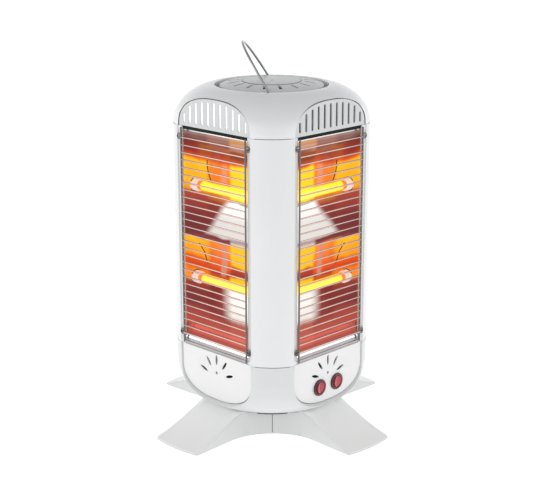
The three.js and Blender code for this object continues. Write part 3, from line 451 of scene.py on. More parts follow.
# Painted reflection of the lamps down a trough, as (height, red, green, blue): far from the near column, by it,
# and between.
REFLECTION_OUTER = [
    (112, 176, 84, 72), (142, 196, 92, 78), (162, 176, 80, 72), (172, 136, 64, 62), (188, 140, 66, 62),
    (199, 160, 72, 62), (206, 244, 150, 52), (219, 240, 130, 40), (225, 222, 78, 34), (234, 232, 104, 34),
    (239, 250, 170, 44), (262, 252, 190, 48), (265, 128, 62, 66), (292, 132, 62, 62), (306, 160, 72, 66),
    (323, 178, 82, 68), (327, 244, 150, 46), (338, 250, 190, 42), (366, 252, 202, 44), (370, 226, 96, 52),
    (377, 160, 62, 50), (392, 122, 58, 54), (401, 150, 120, 112),
]
REFLECTION_INNER = [
    (112, 180, 88, 76), (146, 198, 98, 84), (158, 190, 96, 84), (204, 150, 60, 56), (208, 250, 206, 50),
    (219, 250, 196, 44), (223, 140, 52, 60), (233, 176, 70, 54), (237, 250, 196, 40), (264, 248, 206, 46),
    (268, 196, 182, 190), (276, 128, 60, 60), (322, 120, 52, 52), (327, 252, 214, 54),
    (368, 252, 218, 52), (372, 206, 76, 62), (380, 104, 34, 42), (386, 120, 44, 50), (391, 204, 156, 142),
    (399, 208, 150, 96),
]
REFLECTION_MIDDLE = [
    (112, 184, 90, 78), (150, 190, 90, 78), (166, 138, 62, 60), (200, 140, 60, 58), (206, 230, 120, 40),
    (222, 170, 66, 52), (228, 214, 84, 40), (240, 236, 112, 40), (262, 244, 146, 46), (266, 132, 64, 66),
    (280, 124, 58, 60), (316, 150, 70, 64), (328, 238, 140, 44), (366, 242, 138, 46), (371, 204, 80, 56),
    (380, 140, 52, 48), (392, 150, 92, 84), (401, 170, 130, 116),
]


def reflector_material():
    """Polished trough with its reflection painted in and glowing: bands of glow over each lamp, dark red under
    it, a pale sheen near one edge.

    The attribute sheet_place gives (distance from the near column 0 to 1, height 0 to 1, 0)."""
    mat, tree, shader, noise = new_material("reflector_painted_reflection")

    def feed(socket, value):
        if isinstance(value, bpy.types.NodeSocket):
            tree.links.new(value, socket)
        else:
            socket.default_value = value

    def math(operation, *values, kind="Math"):
        node = add_node(tree, kind, operation=operation)
        for socket, value in zip(node.inputs, values):
            feed(socket, value)
        return node.outputs[0]

    def blend(fac, a, b):
        node = add_node(tree, "Mix", data_type="RGBA")
        for key, value in (("Factor", fac), ("A", a), ("B", b)):
            feed(node.inputs[key], value)
        return node.outputs["Result"]

    def step(source, low, high):
        node = add_node(tree, "MapRange", {"From Min": low, "From Max": high}, interpolation_type="SMOOTHSTEP")
        tree.links.new(source, node.inputs["Value"])
        return node.outputs["Result"]

    def window(source, a, b, c, d):
        return math("MULTIPLY", step(source, a, b), step(source, d, c))

    def reflection_ramp(stops):
        return add_ramp(tree, [(level(z), srgb(*color)) for z, *color in stops], height)

    place_node = add_node(tree, "Attribute", attribute_name="sheet_place")
    drift = math("SUBTRACT", noise(26, output="Color"), (0.5, 0.5, 0.5), kind="VectorMath")
    drift = math("MULTIPLY", drift, (0.10, 0.035, 0), kind="VectorMath")
    split = add_node(tree, "SeparateXYZ")
    tree.links.new(math("ADD", place_node.outputs["Vector"], drift, kind="VectorMath"), split.inputs[0])
    away, height = split.outputs["X"], split.outputs["Y"]

    colour = blend(step(away, 0.24, 0.30), reflection_ramp(REFLECTION_INNER), reflection_ramp(REFLECTION_MIDDLE))
    colour = blend(step(away, 0.56, 0.66), colour, reflection_ramp(REFLECTION_OUTER))
    # painted reflection: a greyish-pink streak over each lamp
    reflection_streak = window(away, 0.31, 0.35, 0.39, 0.43)
    for levels, tone in (((326, 334, 364, 372), (222, 150, 130)), ((216, 224, 260, 266), (196, 140, 132))):
        over = window(height, *map(level, levels))
        colour = blend(math("MULTIPLY", reflection_streak, over), colour, (*srgb(*tone), 1))
    # painted sheen near the column under each lamp; the upper one's edge slants
    slant = 2.05
    edge = math("ADD", away, math("MULTIPLY_ADD", height, slant, -0.27 - slant * level(322)))
    upper, lower = step(edge, 0.09, -0.05), step(away, 0.42, 0.22)
    for levels, side, tone in (((270, 275, 320, 324), upper, (238, 236, 232)),
                               ((158, 170, 202, 206), lower, (234, 232, 226))):
        under = window(height, *map(level, levels))
        colour = blend(math("MULTIPLY", side, under), colour, (*srgb(*tone), 1))

    tree.links.new(blend(0.72, colour, (0, 0, 0, 1)), shader.inputs["Base Color"])
    tree.links.new(colour, shader.inputs["Emission Color"])
    set_inputs(shader, {"Emission Strength": 0.8, "Metallic": 1.0, "Roughness": 0.22})
    add_bump(tree, noise(350), 0.08, 0.0003)
    return mat


REFLECTOR = reflector_material()


# ---------------------------------------------------------------- face slot cutters
def slot_cutter(turn):
    """The long recess of one side, straight behind the panel plane and flared in front of it."""
    rows = []
    for depth, spread in [(92.0, 0.0), (FACE, 0.0), (104.5, 0.12), (105.2, 0.5), (106.4, 1.3), (110.5, 4.6),
                          (126.0, 15.0)]:
        outline = arch(SLOT_HALF + FIT + spread, SLOT_RISE + FIT + spread)
        rows.append([(x, -depth, SLOT_HEAD + y) for x, y in outline]
                    + [(-x, -depth, SLOT_FOOT - y) for x, y in outline])
    return Build().add(*prism(rows)).mesh("cutter", 35, turn)


AROUND = 192


def ring_rows(stations):
    """Rows round the tower.

    A station is (radius, height), or (radius, height, plan, inset, softness) for the smaller of
    the circle and the tower's outer or inner plan."""
    sizes = {"outer": (BODY_HALF, CORNER), "inner": (INNER_HALF, INNER_CORNER)}
    rows = []
    for radius, z, *shape in stations:
        row = []
        for i in range(AROUND):
            a = 2 * pi * (i + 0.5) / AROUND
            r = radius
            if shape:
                plan, inset, softness = shape
                r = soft_min(radius, plan_radius(a, *sizes[plan]) - inset, softness)
            row.append((r * cos(a), r * sin(a), z))
        rows.append(row)
    return rows


def top_cap():
    low, start, height, top_r, power = VENT_BOTTOM, SLOT_HEAD, 48.0, 72.0, 1.9
    stations = [(FAR, low, "outer", 0.5, 0), (FAR, low + 0.12, "outer", 0.18, 0),
                (FAR, low + 0.45, "outer", 0, 0)]
    for i in range(41):
        a = (pi / 2) * i / 40 * 0.962
        r = top_r + (DIAGONAL - top_r) * cos(a) ** (2 / power)
        z = start + height * sin(a) ** (2 / power)
        if r < 75.8:
            break
        stations.append((r, z, "outer", 0, 3.5 * smooth((z - start) / 12)))
    z = stations[-1][1]
    # rim of the well, its floor and the opening in it
    stations += [(75.1, z + 0.02), (74.6, z - 0.25), (74.3, z - 0.8), (74.2, z - 1.6), (74.2, 448.0),
                 (74.1, 447.3), (73.6, 446.9), (73.0, 446.8), (62.0, 446.8), (61.3, 446.6), (61.0, 446.0), (61.0, 444.6),
                 (61.4, 444.3), (79.6, 444.3), (80.0, 444.8)]
    lining = []
    for i in range(13):
        a = (pi / 2) * i / 12
        r = top_r + (DIAGONAL - WALL - top_r) * max(cos(a), 0) ** (2 / power)
        if r > 81:
            lining.append((r, start + (height - WALL) * sin(a) ** (2 / power), "inner", 0, 2))
    stations += [(80.0, lining[-1][1])] + lining[::-1] + [(DIAGONAL - WALL, low, "inner", 0, 0)]
    pins = Build()
    for sign in (-1, 1):
        ends = [(sign * sqrt(0.5) * r, sign * sqrt(0.5) * r, BAIL_LEVEL) for r in (66.0, 84.0)]
        pins.add(*tube(ends, 2.1, 20, False))
    mesh = boolean(Build().add(*grid(ring_rows(stations))).mesh("top_cap_shell"),
                   [slot_cutter(k) for k in range(4)] + [pins.mesh("pins")])
    finish_mesh(mesh, 28)

    def look(x, y, z, normal):
        out = hypot(x, y)
        # inward faces and the well's floor take the painted shade
        inside = out > 81 and normal.x * x + normal.y * y < -0.2 * out or out < 81 and z < 447
        along = normal.x * (1 if x > 0 else -1) if abs(x) < abs(y) else normal.y * (1 if y > 0 else -1)
        # faces of the flares round the recesses take the painted highlight
        lit_flare = max(abs(x), abs(y)) > FACE - 0.1 and (along < -0.15 or normal.z < -0.15) and z > low + 1
        return 1 if inside else 2 if lit_flare else 0

    paint(mesh, look)
    place("cap_shell", mesh, [WHITE, INSIDE_SHADE, FLARE_HIGHLIGHT], ["top_cap"])


def lower_moulding():
    bottom, top, bowl, drop, floor_r = 36.0, PANEL_TOP, 86.0, 50.0, 90.5
    stations = [(FAR, top, "outer", 0.5, 0), (FAR, top - 0.12, "outer", 0.18, 0)]
    stations += [(FAR, z, "outer", 0, 0) for z in (top - 0.45, 100, 92)]
    for i in range(33):
        a = (pi / 2) * i / 32
        z = bowl - drop * sin(a)
        stations.append((floor_r + (DIAGONAL - floor_r) * cos(a), z, "outer", 0, 3.5 * smooth((bowl - z) / 12)))
    stations += [(88, bottom), (60, bottom), (20.5, bottom), (20, bottom + 0.5), (20, bottom + WALL - 0.5),
                 (20.5, bottom + WALL), (60, bottom + WALL)]
    for i in range(12, -1, -1):
        a = (pi / 2) * i / 12
        stations.append((floor_r - WALL + (DIAGONAL - floor_r) * cos(a), bowl - (drop - WALL) * sin(a),
                         "inner", 0, 1))
    stations.append((DIAGONAL - WALL, top, "inner", 0, 0))
    mesh = boolean(Build().add(*grid(ring_rows(stations))).mesh("lower_shell_mesh"),
                   [slot_cutter(k) for k in range(4)])
    finish_mesh(mesh, 28)
    # the bowl's skin is the darkened white, a painted shade
    place("lower_shell", mesh, [LOWER_SHADED_WHITE], ["lower_moulding"])


def corner_posts():
    centre, half = BODY_HALF - CORNER, SLOT_HALF + FIT
    edge = half
    for _ in range(20):  # the post ends where the recess's flare meets its round face
        depth = centre + sqrt(CORNER ** 2 - (edge - centre) ** 2)
        edge = half + (4.6 / 6.5) * (depth - FACE)
    start = asin((edge - centre) / CORNER)
    inner = CORNER - WALL
    back = FACE - WALL
    loop = [(FACE, WINDOW_HALF), (FACE, half - 0.4), (FACE + 0.15, half), (FACE + 0.5, half + 0.25)]
    for i in range(41):
        a = start + (pi / 2 - 2 * start) * i / 40
        loop.append((centre + CORNER * cos(a), centre + CORNER * sin(a)))
    loop += [(half + 0.25, FACE + 0.5), (half, FACE + 0.15), (half - 0.4, FACE), (WINDOW_HALF, FACE),
             (WINDOW_HALF, back)]
    from_a = pi / 2 - asin((back - centre) / inner)
    for i in range(21):
        a = pi / 2 - from_a - (pi / 2 - 2 * from_a) * i / 20
        loop.append((centre + inner * cos(a), centre + inner * sin(a)))
    loop.append((back, WINDOW_HALF))
    low, high = POST_BOTTOM + FIT / 2, POST_TOP - FIT / 2
    for corner, name in enumerate(["back_right", "back_left", "front_left", "front_right"]):
        mesh = plate([loop], high - low, 0.45)
        mesh.transform(quarter(corner) @ Matrix.Translation((0, 0, (high + low) / 2 * MM)))
        finish_mesh(mesh, 28)
        place("post_skin_" + name, mesh, [WHITE], ["corner_post_" + name])


def seam_shades():
    """Painted shade: a dark line put in the joints over and under each corner post."""
    centre = BODY_HALF - CORNER
    section = [(CORNER - 1.8, -0.4), (CORNER + 0.08, -0.4), (CORNER + 0.08, 0.4), (CORNER - 1.8, 0.4)]
    build = Build()
    for corner in range(4):
        for z in (POST_BOTTOM, POST_TOP):
            rows = []
            for i in range(33):
                a = radians(24 + 42 * i / 32)
                rows.append([(centre + r * cos(a), centre + r * sin(a), z + h) for r, h in section])
            build.add(*prism(rows), 0, quarter(corner))
    place("joint_shade_lines", build.mesh("joint_shade_lines"), [JOINT_SHADE], ())


# ---------------------------------------------------------------- panels
def vent_outline(gap):
    """Outline of a vent that stays the given gap inside the recess."""
    half = SLOT_HALF - gap
    return [(half, VENT_BOTTOM)] + [(x, SLOT_HEAD + y) for x, y in arch(half, SLOT_RISE - gap)] \
        + [(-half, VENT_BOTTOM)]


def panel_outline(gap):
    """Outline of a lower panel that stays the given gap inside the recess."""
    half = SLOT_HALF - gap
    return [(-half, PANEL_TOP)] + [(-x, SLOT_FOOT - y) for x, y in arch(half, SLOT_RISE - gap)] \
        + [(half, PANEL_TOP)]


def arch_vents():
    loops = [vent_outline(0.7)]
    inner, high = SLOT_HALF - 4.6, SLOT_RISE - 4.6
    for i in range(11):
        x = (i - 5) * 11.2
        top = SLOT_HEAD + high * (1 - (abs(x) / inner) ** SLOT_POWER) ** (1 / SLOT_POWER)
        loops.append(stadium(x, 411.5, top, 1.75))
    shade_ring = vent_outline(0)

    def shrunk(share):
        return [(x * share, VENT_BOTTOM + 2 + (z - VENT_BOTTOM) * 0.9) for x, z in shade_ring]

    behind = FACE - WALL
    for turn, name in enumerate(SIDES):
        face_plate("vent_skin_" + name, loops, WALL, 0.45, FACE - WALL / 2, turn, VENT,
                   ["arch_vent_" + name], 2, 30)
        # dark ring in the gap round the vent: painted shade
        face_plate("vent_gap_shade_" + name, [shade_ring, shrunk(0.955)], 0.8, 0.05, behind - 0.5, turn, GAP_SHADE)
        # left and right vents get the glowing painted-light backing, front and back the painted-shade backing
        backlit = name in ("left", "right")
        look, slot = (LINER_PAINTED_LIGHT, "white_plastic") if backlit else (LINER_PAINTED_SHADE, "black_plastic")
        face_plate("vent_painted_backing_" + name, [shrunk(0.93)], 0.6, 0.05, behind - 1.4, turn, look)


def strip(half, low, high):
    return [[(-half, low), (half, low), (half, high), (-half, high)]]


def lower_panels():
    shade_ring = panel_outline(0)
    shade_ring_hole = [(x * 0.955, PANEL_TOP - 2 - (PANEL_TOP - z) * 0.9) for x, z in shade_ring]
    half, wide = 14.3 / 2, 1.9
    petals = [ellipse(0, FAN_LEVEL + 7.5, wide, wide)]
    for i in range(5):
        a = radians(90 + (i - 2) * 35.5)
        r = 18.3 + half
        petals.append(ellipse(r * cos(a), FAN_LEVEL + r * sin(a), half, wide, a))
    extra = {
        "front": [ellipse(s * SWITCH_SPACING, SWITCH_LEVEL, 10.2, 10.2, steps=64) for s in (-1, 1)],
        "back": [ellipse(0, BUSH_LEVEL, 6.3, 6.3, steps=40)], "left": [], "right": [],
    }
    behind = FACE - WALL
    for turn, name in enumerate(SIDES):
        node = "control_panel_front" if name == "front" else "lower_panel_" + name
        loops = [panel_outline(0.5)] + petals + extra[name]
        face_plate("panel_skin_" + name, loops, WALL, 0.4, FACE - WALL / 2, turn, PANEL,
                   [node], 2, 30)
        # dark ring in the gap round the panel: painted shade
        face_plate("panel_gap_shade_" + name, [shade_ring, shade_ring_hole], 0.8, 0.05, behind - 0.5, turn, JOINT_SHADE)
        # black sheet behind the fan openings: painted shade
        face_plate("fan_shade_sheet_" + name, strip(36, FAN_LEVEL + 2, PANEL_TOP - 4), 0.6, 0.1, behind - 0.8, turn,
                   SHADOW)
        # black strip at the window's top edge: painted shade
        face_plate("window_shade_strip_" + name, strip(59.5, 402.6, 406.4), 3.0, 0.3, FACE - 3.2, turn,
                   SHADOW, (), 1)
        # the lip carries the sill's painted highlight colour
        face_plate("window_lip_" + name, strip(59.3, 400.7, 402.35), 1.4, 0.3, FACE - 2.6, turn,
                   SILL_HIGHLIGHT, (), 1)


def sills():
    back, front, low = 100.9, FACE - 0.6, PANEL_TOP + FIT
    section = [(back, low), (front - 0.3, low), (front, low + 0.3), (front, low + 3.3), (front - 0.2, low + 3.6),
               (front - 1.1, low + 4.1), (front - 1.1, low + 4.9), (front - 0.2, low + 5.4), (front, low + 5.8),
               (front, low + 8.9), (front - 0.3, low + 9.4), (front - 1.4, low + 13.3), (front - 1.8, low + 13.6),
               (back, low + 13.6)]
    half = WINDOW_HALF - FIT
    for turn, name in enumerate(SIDES):
        rows = [[(x, -d, z) for d, z in section] for x in (-half, half)]
        mesh = Build().add(*prism(rows)).mesh("sill_" + name, 30, turn)
        # lower faces take the painted shade
        paint(mesh, lambda x, y, z, normal: z < low + 9.1)
        place("sill_skin_" + name, mesh, [SILL_HIGHLIGHT, SILL_SHADE], ["sill_" + name])


# ---------------------------------------------------------------- heating chamber
def mark_sheet(mesh, near):
    """Store on each point where the painted reflection bands lie: they lean over the depth of the trough.

    The mesh is still in the front side's place; near is +1 or -1, the side of the near column."""
    marks = []
    for vertex in mesh.vertices:
        across, depth, z = vertex.co.x / MM, -vertex.co.y / MM, vertex.co.z / MM
        inside = FACE - depth
        marks += [0.5 - near * across / 120 - inside / 120, level(z + 0.4 * inside), 0.0]
    mesh.attributes.new("sheet_place", "FLOAT_VECTOR", "POINT").data.foreach_set("vector", marks)


def near_side(name):
    return 1 if name in ("left", "right") else -1


def trough_depth(z):
    """Depth of the reflector's face at a height."""
    return min(TROUGH_BACK + TROUGH_DISH * ((z - lamp) / TROUGH_HALF) ** 2 for lamp in LAMPS.values())


def split_sheet(mesh):
    """Cut an end sheet's faces a little behind the troughs; its shape stays as it is."""
    bm = bmesh.new()
    bm.from_mesh(mesh)

    def cut(faces, point, normal):
        edges, verts = {e for f in faces for e in f.edges}, {v for f in faces for v in f.verts}
        bmesh.ops.bisect_plane(bm, geom=faces + list(edges) + list(verts), plane_co=Vector(point) * MM,
                               plane_no=normal, dist=1e-7)

    for lamp in LAMPS.values():
        heights = [lamp + TROUGH_HALF * (-1 + i / 2) for i in range(5)]
        for z in heights:
            cut(list(bm.faces), (0, 0, z), (0, 0, 1))
        for low, high in zip(heights, heights[1:]):
            a, b = LIT_BEHIND - trough_depth(low), LIT_BEHIND - trough_depth(high)
            strip = [f for f in bm.faces if low < f.calc_center_median().z / MM < high]
            cut(strip, (0, a, low), (0, high - low, a - b))
    bm.to_mesh(mesh)
    bm.free()


def reflector_section():
    front = 100.6
    points = [(front, CHAMBER_BOTTOM), (front, 118.0), (front, BAR_LEVEL - 1.5)]
    for z in LAMPS.values():
        for i in range(33):
            t = -1 + i / 16
            points.append((TROUGH_BACK + TROUGH_DISH * t * t, z + t * TROUGH_HALF))
    return points + [(front, CHAMBER_TOP - 8), (front, CHAMBER_TOP)]


def reflectors():
    section = reflector_section()
    n, columns = len(section), 24
    half = columns + 1
    verts = [(-WINDOW_HALF + 2 * WINDOW_HALF * c / columns, -(d - thick), z)
             for thick in (0.0, SHEET) for c in range(half) for d, z in section]
    faces = []
    for base in (0, half * n):
        for c in range(columns):
            for i in range(n - 1):
                a = base + c * n + i
                faces.append([a, a + n, a + n + 1, a + 1])
    for c in (0, columns):
        for i in range(n - 1):
            a, b = c * n + i, (half + c) * n + i
            faces.append([a, a + 1, b + 1, b])
    for i in (0, n - 1):
        for c in range(columns):
            a, b = c * n + i, (half + c) * n + i
            faces.append([a, a + n, b + n, b])
    for turn, name in enumerate(SIDES):
        mesh = Build().add(verts, faces).mesh("reflector_" + name, 40)
        mark_sheet(mesh, near_side(name))
        paint(mesh, lambda x, y, z, normal: normal.y > 0.01)
        mesh.transform(quarter(-turn))
        place("reflector_skin_" + name, mesh, [REFLECTOR, STEEL], ["reflector_" + name])


def end_plates():
    """Sheet at each end of the troughs, with a round hole for each lamp."""
    loops = [[(64.0, CHAMBER_BOTTOM), (100.9, CHAMBER_BOTTOM), (100.9, CHAMBER_TOP), (64.0, CHAMBER_TOP)]]
    loops += [ellipse(LAMP_DEPTH, z, 8.9, 8.9, steps=40) for z in LAMPS.values()]
    for turn, name in enumerate(SIDES):
        for end, side in (("a", -1), ("b", 1)):
            mesh = plate(loops, 1.0, 0.15, 1)
            mesh.transform(Matrix(((0, 0, 1, side * 60.8 * MM), (-1, 0, 0, 0), (0, 1, 0, 0), (0, 0, 0, 1))))
            split_sheet(mesh)
            finish_mesh(mesh, 40)
            mark_sheet(mesh, near_side(name))
            # faces towards the troughs take the reflector's painted reflection
            paint(mesh, lambda x, y, z, normal: normal.x * side > 0.5 or -y < trough_depth(z) - LIT_BEHIND)
            mesh.transform(quarter(-turn))
            place("end_sheet_" + name + "_" + end, mesh, [REFLECTOR, STEEL], ["end_plate_" + name + "_" + end])


def lamps():
    for turn, name in enumerate(SIDES):
        near = near_side(name)
        for which, z in LAMPS.items():
            build = Build()
            seat = Matrix.Translation((0, -LAMP_DEPTH, z)) @ Matrix.Rotation(pi / 2, 4, "Y")
            glass = [(0.0, -44.5), (6.0, -44.5), (6.2, -43.0), (6.2, 43.0), (6.0, 44.5), (0.0, 44.5)]
            build.add(*lathe(glass, 32), 0, seat)
            for sign in (-1, 1):
                end = [(0.0, 44.0), (6.15, 44.0), (6.2, 46.0), (6.2, 52.0), (0.0, 52.0)]
                build.add(*lathe([(r, sign * y) for r, y in end], 32), 1, seat)
                cap = [(0.0, 50.6), (7.6, 50.6), (8.4, 51.3), (8.4, 55.6), (7.7, 56.0), (7.7, 57.2), (8.4, 57.6),
                       (8.4, 61.8), (7.8, 62.5), (5.4, 62.5), (5.4, 65.6), (5.0, 66.0), (0.0, 66.0)]
                build.add(*lathe([(r, sign * y) for r, y in cap], 32), 2, seat)
                angles = [radians(-60 + 300 * i / 24) for i in range(25)]
                arc = [(8.6 * cos(a), 8.6 * sin(a), sign * 61.0) for a in angles]
                build.add(*tube(arc, 1.15, 8), 3, seat)
            start, end, outer_at = (6, 35, 36) if which == "upper" else (19, 50, 44)
            wire = []
            for i in range(15):
                t = i / 14
                across = outer_at + 2.5 * sin(pi * t) + 2 * t
                height = z + start + (end - start) * t
                wire.append((-near * across, -max(trough_depth(height) + 2.0, 75.5 + 5 * t), height))
            build.add(*tube(wire, 0.6, 8), 3)
            place("lamp_" + which + "_tube_" + name, build.mesh("lamp", 35, turn),
                  # the ceramic ends take the painted glow
                  [GLOW, GLOW_END, CERAMIC_GLOW, CLIP], ["lamp_" + which + "_" + name])


def hook_path(side, z, bend):
    """End of a wire, bent back round the rod into the recess."""
    points = [(side * (ROD_SPACING - 0.5), -GUARD_DEPTH, z)]
    for i in range(9):
        a = pi / 2 * i / 8
        points.append((side * (HOOK_SPACING - bend + bend * sin(a)), -GUARD_DEPTH + bend - bend * cos(a), z))
    return points + [(side * HOOK_SPACING, -100.9, z)]


def guards():
    top = WIRE_FIRST + WIRE_PITCH * (WIRE_COUNT - 1)
    for turn, name in enumerate(SIDES):
        build = Build()
        for side in (-1, 1):
            x = side * ROD_SPACING
            build.add(*tube([(x, -GUARD_DEPTH, 113.5), (x, -GUARD_DEPTH, 405.2)], ROD_RADIUS, 16), 1)
            for z, bend, radius in ((BAR_LEVEL, 3.2, BAR_RADIUS), (top, 3.4, WIRE_RADIUS)):
                build.add(*tube(hook_path(side, z, bend), radius, 14), 1)
                eye = Matrix.Translation((side * 62.6, -GUARD_DEPTH + 0.2, z + 1)) @ TO_FRONT
                build.add(*torus(EYE_RADIUS, EYE_WIRE), 1, eye)
        wires = [(WIRE_FIRST + i * WIRE_PITCH, WIRE_RADIUS, 12) for i in range(WIRE_COUNT)]
        for z, radius, sides in wires + [(BAR_LEVEL, BAR_RADIUS, 16)]:
            build.add(*tube([(-60.2, -GUARD_DEPTH, z), (60.2, -GUARD_DEPTH, z)], radius, sides))
        # wires take the painted warm reflection; rods, hooks and eyes the painted shade
        place("guard_wires_" + name, build.mesh("guard", 50, turn), [CHROME_PAINTED_REFLECTION, ROD_CHROME_PAINTED_SHADE],
              ["wire_guard_" + name])


# ---------------------------------------------------------------- top disc and bail
def top_disc():
    rim, crown, inner, step, radius = 455.0, 460.2, 38.0, 0.6, 67.8
    profile = [(2.6, crown - WALL), (2.6, crown - 0.4), (3.0, crown), (inner - 0.5, crown), (inner, crown - 0.12),
               (inner + 0.4, crown - step)]
    for i in range(1, 19):
        t = i / 18
        r = inner + 1 + t * (radius - 1.2 - inner - 1)
        profile.append((r, crown - step - (crown - step - rim) * t * t))
    z = profile[-1][1]
    profile += [(radius - 0.45, z - 0.35), (radius, z - 1.1), (radius, 447.6), (radius - 0.4, 447.1),
                (radius - WALL + 0.3, 447.1), (radius - WALL, 447.5), (radius - WALL, z - WALL)]
    for i in range(5, -1, -1):
        t = i / 6
        r = inner + 1 + t * (radius - WALL - inner - 1)
        profile.append((r, crown - step - WALL - (crown - step - rim) * t * t))
    cutter = Build()
    for i in range(16):
        a = radians(45 + (i + 0.5) * 22.5)
        loop = stadium(0, 42.5, 58.5, 2.1, 8)
        rows = [[(y * cos(a) - x * sin(a), y * sin(a) + x * cos(a), z) for x, y in loop] for z in (446.0, 466.0)]
        cutter.add(*prism(rows))
    mesh = boolean(Build().add(*lathe(profile, 192)).mesh("disc_mesh"), [cutter.mesh("disc_cutter")])
    finish_mesh(mesh, 28)
    place("vent_disc_skin", mesh, [DISC], ["top_vent_disc"])
    # Painted shade: a dark disc under the centre hole and a dark ring that darkens the groove round the crown.
    shade_marks = Build()
    shade_marks.add(*lathe([(0.0, crown - 2.2), (2.5, crown - 2.2), (2.5, crown - 0.45), (0.0, crown - 0.45)], 32))
    shade_marks.add(*torus(inner + 0.35, 0.32, 120, 8), 0, Matrix.Translation((0, 0, crown - 0.42)))
    place("disc_shade_marks", shade_marks.mesh("disc_shade_marks"), [GAP_SHADE], ())


def bail():
    half = [(79.0, 0.0), (76.0, 0.0), (74.4, 0.0)]
    for i in range(1, 9):
        a = (pi / 2) * i / 8
        half.append((73.4 - 2.4 * sin(a), 2.4 - 2.4 * cos(a)))
    for i in range(2, 41):
        a = (pi / 2) * i / 40
        half.append((BAIL_RADIUS * cos(a), BAIL_RADIUS * sin(a)))
    line = half + [(-x, z) for x, z in reversed(half[:-1])]
    tilt = radians(BAIL_TILT)
    along = Vector((sqrt(0.5), sqrt(0.5), 0))
    lean = Vector((-sin(tilt) * sqrt(0.5), sin(tilt) * sqrt(0.5), cos(tilt)))
    base = Vector((0, 0, BAIL_LEVEL))
    wire = Build().add(*tube([base + along * x + lean * z for x, z in line], 1.6, 16))
    place("bail_wire", wire.mesh("bail", 50), [BAIL_CHROME], ["carry_bail"], "bail")


# ---------------------------------------------------------------- switches, bush, pads
def facing(across, z):
    """Takes a turned piece, drawn as (radius, depth), to its place on the front side."""
    return Matrix.Translation((across, 0, z)) @ TO_FRONT


def rocker_rows(radius, sides):
    """Dished face of a rocker with a rounded rim, then its side and its flat back."""
    rim = {7.3: 0.06, 7.52: 0.2, 7.65: 0.42, radius: 0.7}
    rows = []
    for r in [0.01] + [7.0 * i / 10 for i in range(1, 11)] + list(rim):
        rows.append([(x, y, 1.3 + 1.4 * (sqrt(x * x + 0.35) - 0.59) / radius - rim.get(r, 0))
                     for x, y, _ in circle(r, 0, sides)])
    return rows + [circle(radius, 0.0, sides), circle(radius, -2.2, sides), circle(0.01, -2.2, sides)]


def switches():
    profile = [(0, 92), (9.9, 92), (9.9, 104.3), (11.0, 104.3), (11.3, 104.5), (11.3, 105.3), (11.05, 105.8),
               (10.5, 106.15), (9.4, 106.2), (8.8, 106.1), (8.45, 105.7), (8.4, 105.2), (8.4, 98.8), (0, 98.8)]
    bar = []
    for z, inset in ((0.9, 0.0), (1.72, 0.0), (1.9, 0.15)):
        left, right, half = inset - 0.6, 1.0 - inset, 4.6 - inset
        bar.append([(left, -half, z), (right, -half, z), (right, half, z), (left, half, z)])
    for sign, name in ((-1, "left"), (1, "right")):
        across = sign * SWITCH_SPACING
        bezel = Build().add(*lathe(profile, 72), 0, facing(across, SWITCH_LEVEL)).mesh("bezel")
        paint(bezel, lambda x, y, z, normal: hypot(x - across, z - SWITCH_LEVEL) < 9.2 and y < -99)
        place("switch_bezel_" + name, bezel, [BLACK, RED], ["switch_body_" + name])
        seat = Matrix.Translation((across, -104.6, SWITCH_LEVEL)) \
            @ Matrix.Rotation(radians(10), 4, "Z") @ TO_FRONT
        rocker = Build().add(*grid(rocker_rows(7.7, 64), False), 0, seat).add(*prism(bar), 1, seat)
        place("rocker_skin_" + name, rocker.mesh("rocker", 40), [RED, RED_LIT], ["switch_rocker_" + name],
              "rocker_" + name)


def small_parts():
    profile = [(4.0, 97.2), (5.8, 97.0), (6.0, 97.3), (6.0, 104.3), (7.9, 104.3), (8.2, 104.6), (8.2, 105.2),
               (7.7, 105.8), (6.6, 106.0), (4.6, 106.0), (4.1, 105.7), (4.0, 105.2)]
    bush = Build().add(*lathe(profile, 64), 0, quarter(2) @ facing(0, BUSH_LEVEL))
    place("bush_skin", bush.mesh("bush"), [BLACK], ["cord_bush"])
    profile = [(0, 0), (7.0, 0), (7.6, 0.2), (8.0, 0.8), (8.0, 3.6), (7.7, 4.0), (0, 4.0)]
    for leg, name in enumerate(["right", "back", "left", "front"]):
        a = leg * pi / 2
        seat = Matrix.Translation((PAD_REACH * cos(a), PAD_REACH * sin(a), 0))
        pad = Build().add(*lathe(profile, 40), 0, seat)
        place("pad_skin_" + name, pad.mesh("pad"), [RUBBER], ["foot_pad_" + name])


# ---------------------------------------------------------------- foot
FOOT_TOP, FOOT_REACH, FOOT_TIP = 35.7, 181.5, 3.4


def foot_outline(angle):
    """Radius of the foot's edge in a direction."""
    a = angle % (pi / 2)
    a = min(a, pi / 2 - a)
    root_x, root_y, waist_r = 114.7, 36.3, 82.5
    near = waist_r / sqrt(2)
    centre = (root_x ** 2 + root_y ** 2 - 2 * near ** 2) / (2 * (root_x + root_y - 2 * near))
    waist = sqrt(2) * (centre - near)
    tip_y = 39.6
    tip_x = sqrt(FOOT_REACH ** 2 - tip_y ** 2)
    if a >= atan2(root_y, root_x):
        k = centre * (cos(a) + sin(a))
        return k - sqrt(max(k * k - 2 * centre ** 2 + waist ** 2, 0))
    dx, dy = tip_x - root_x, tip_y - root_y
    cross = cos(a) * dy - sin(a) * dx
    line = (root_x * dy - root_y * dx) / cross
    return soft_min(FOOT_REACH, line, 4.0) if line > 0 else FOOT_REACH


def foot_height(r):
    """Height of the foot's upper side at a radius."""
    if r <= 103:
        return FOOT_TOP
    t = min((r - 103) / (FOOT_REACH - 103), 1)
    drop = 0.55 * t + 0.45 * sin(t * pi / 2) ** 1.2
    return FOOT_TIP + (FOOT_TOP - FOOT_TIP) * (1 - drop)


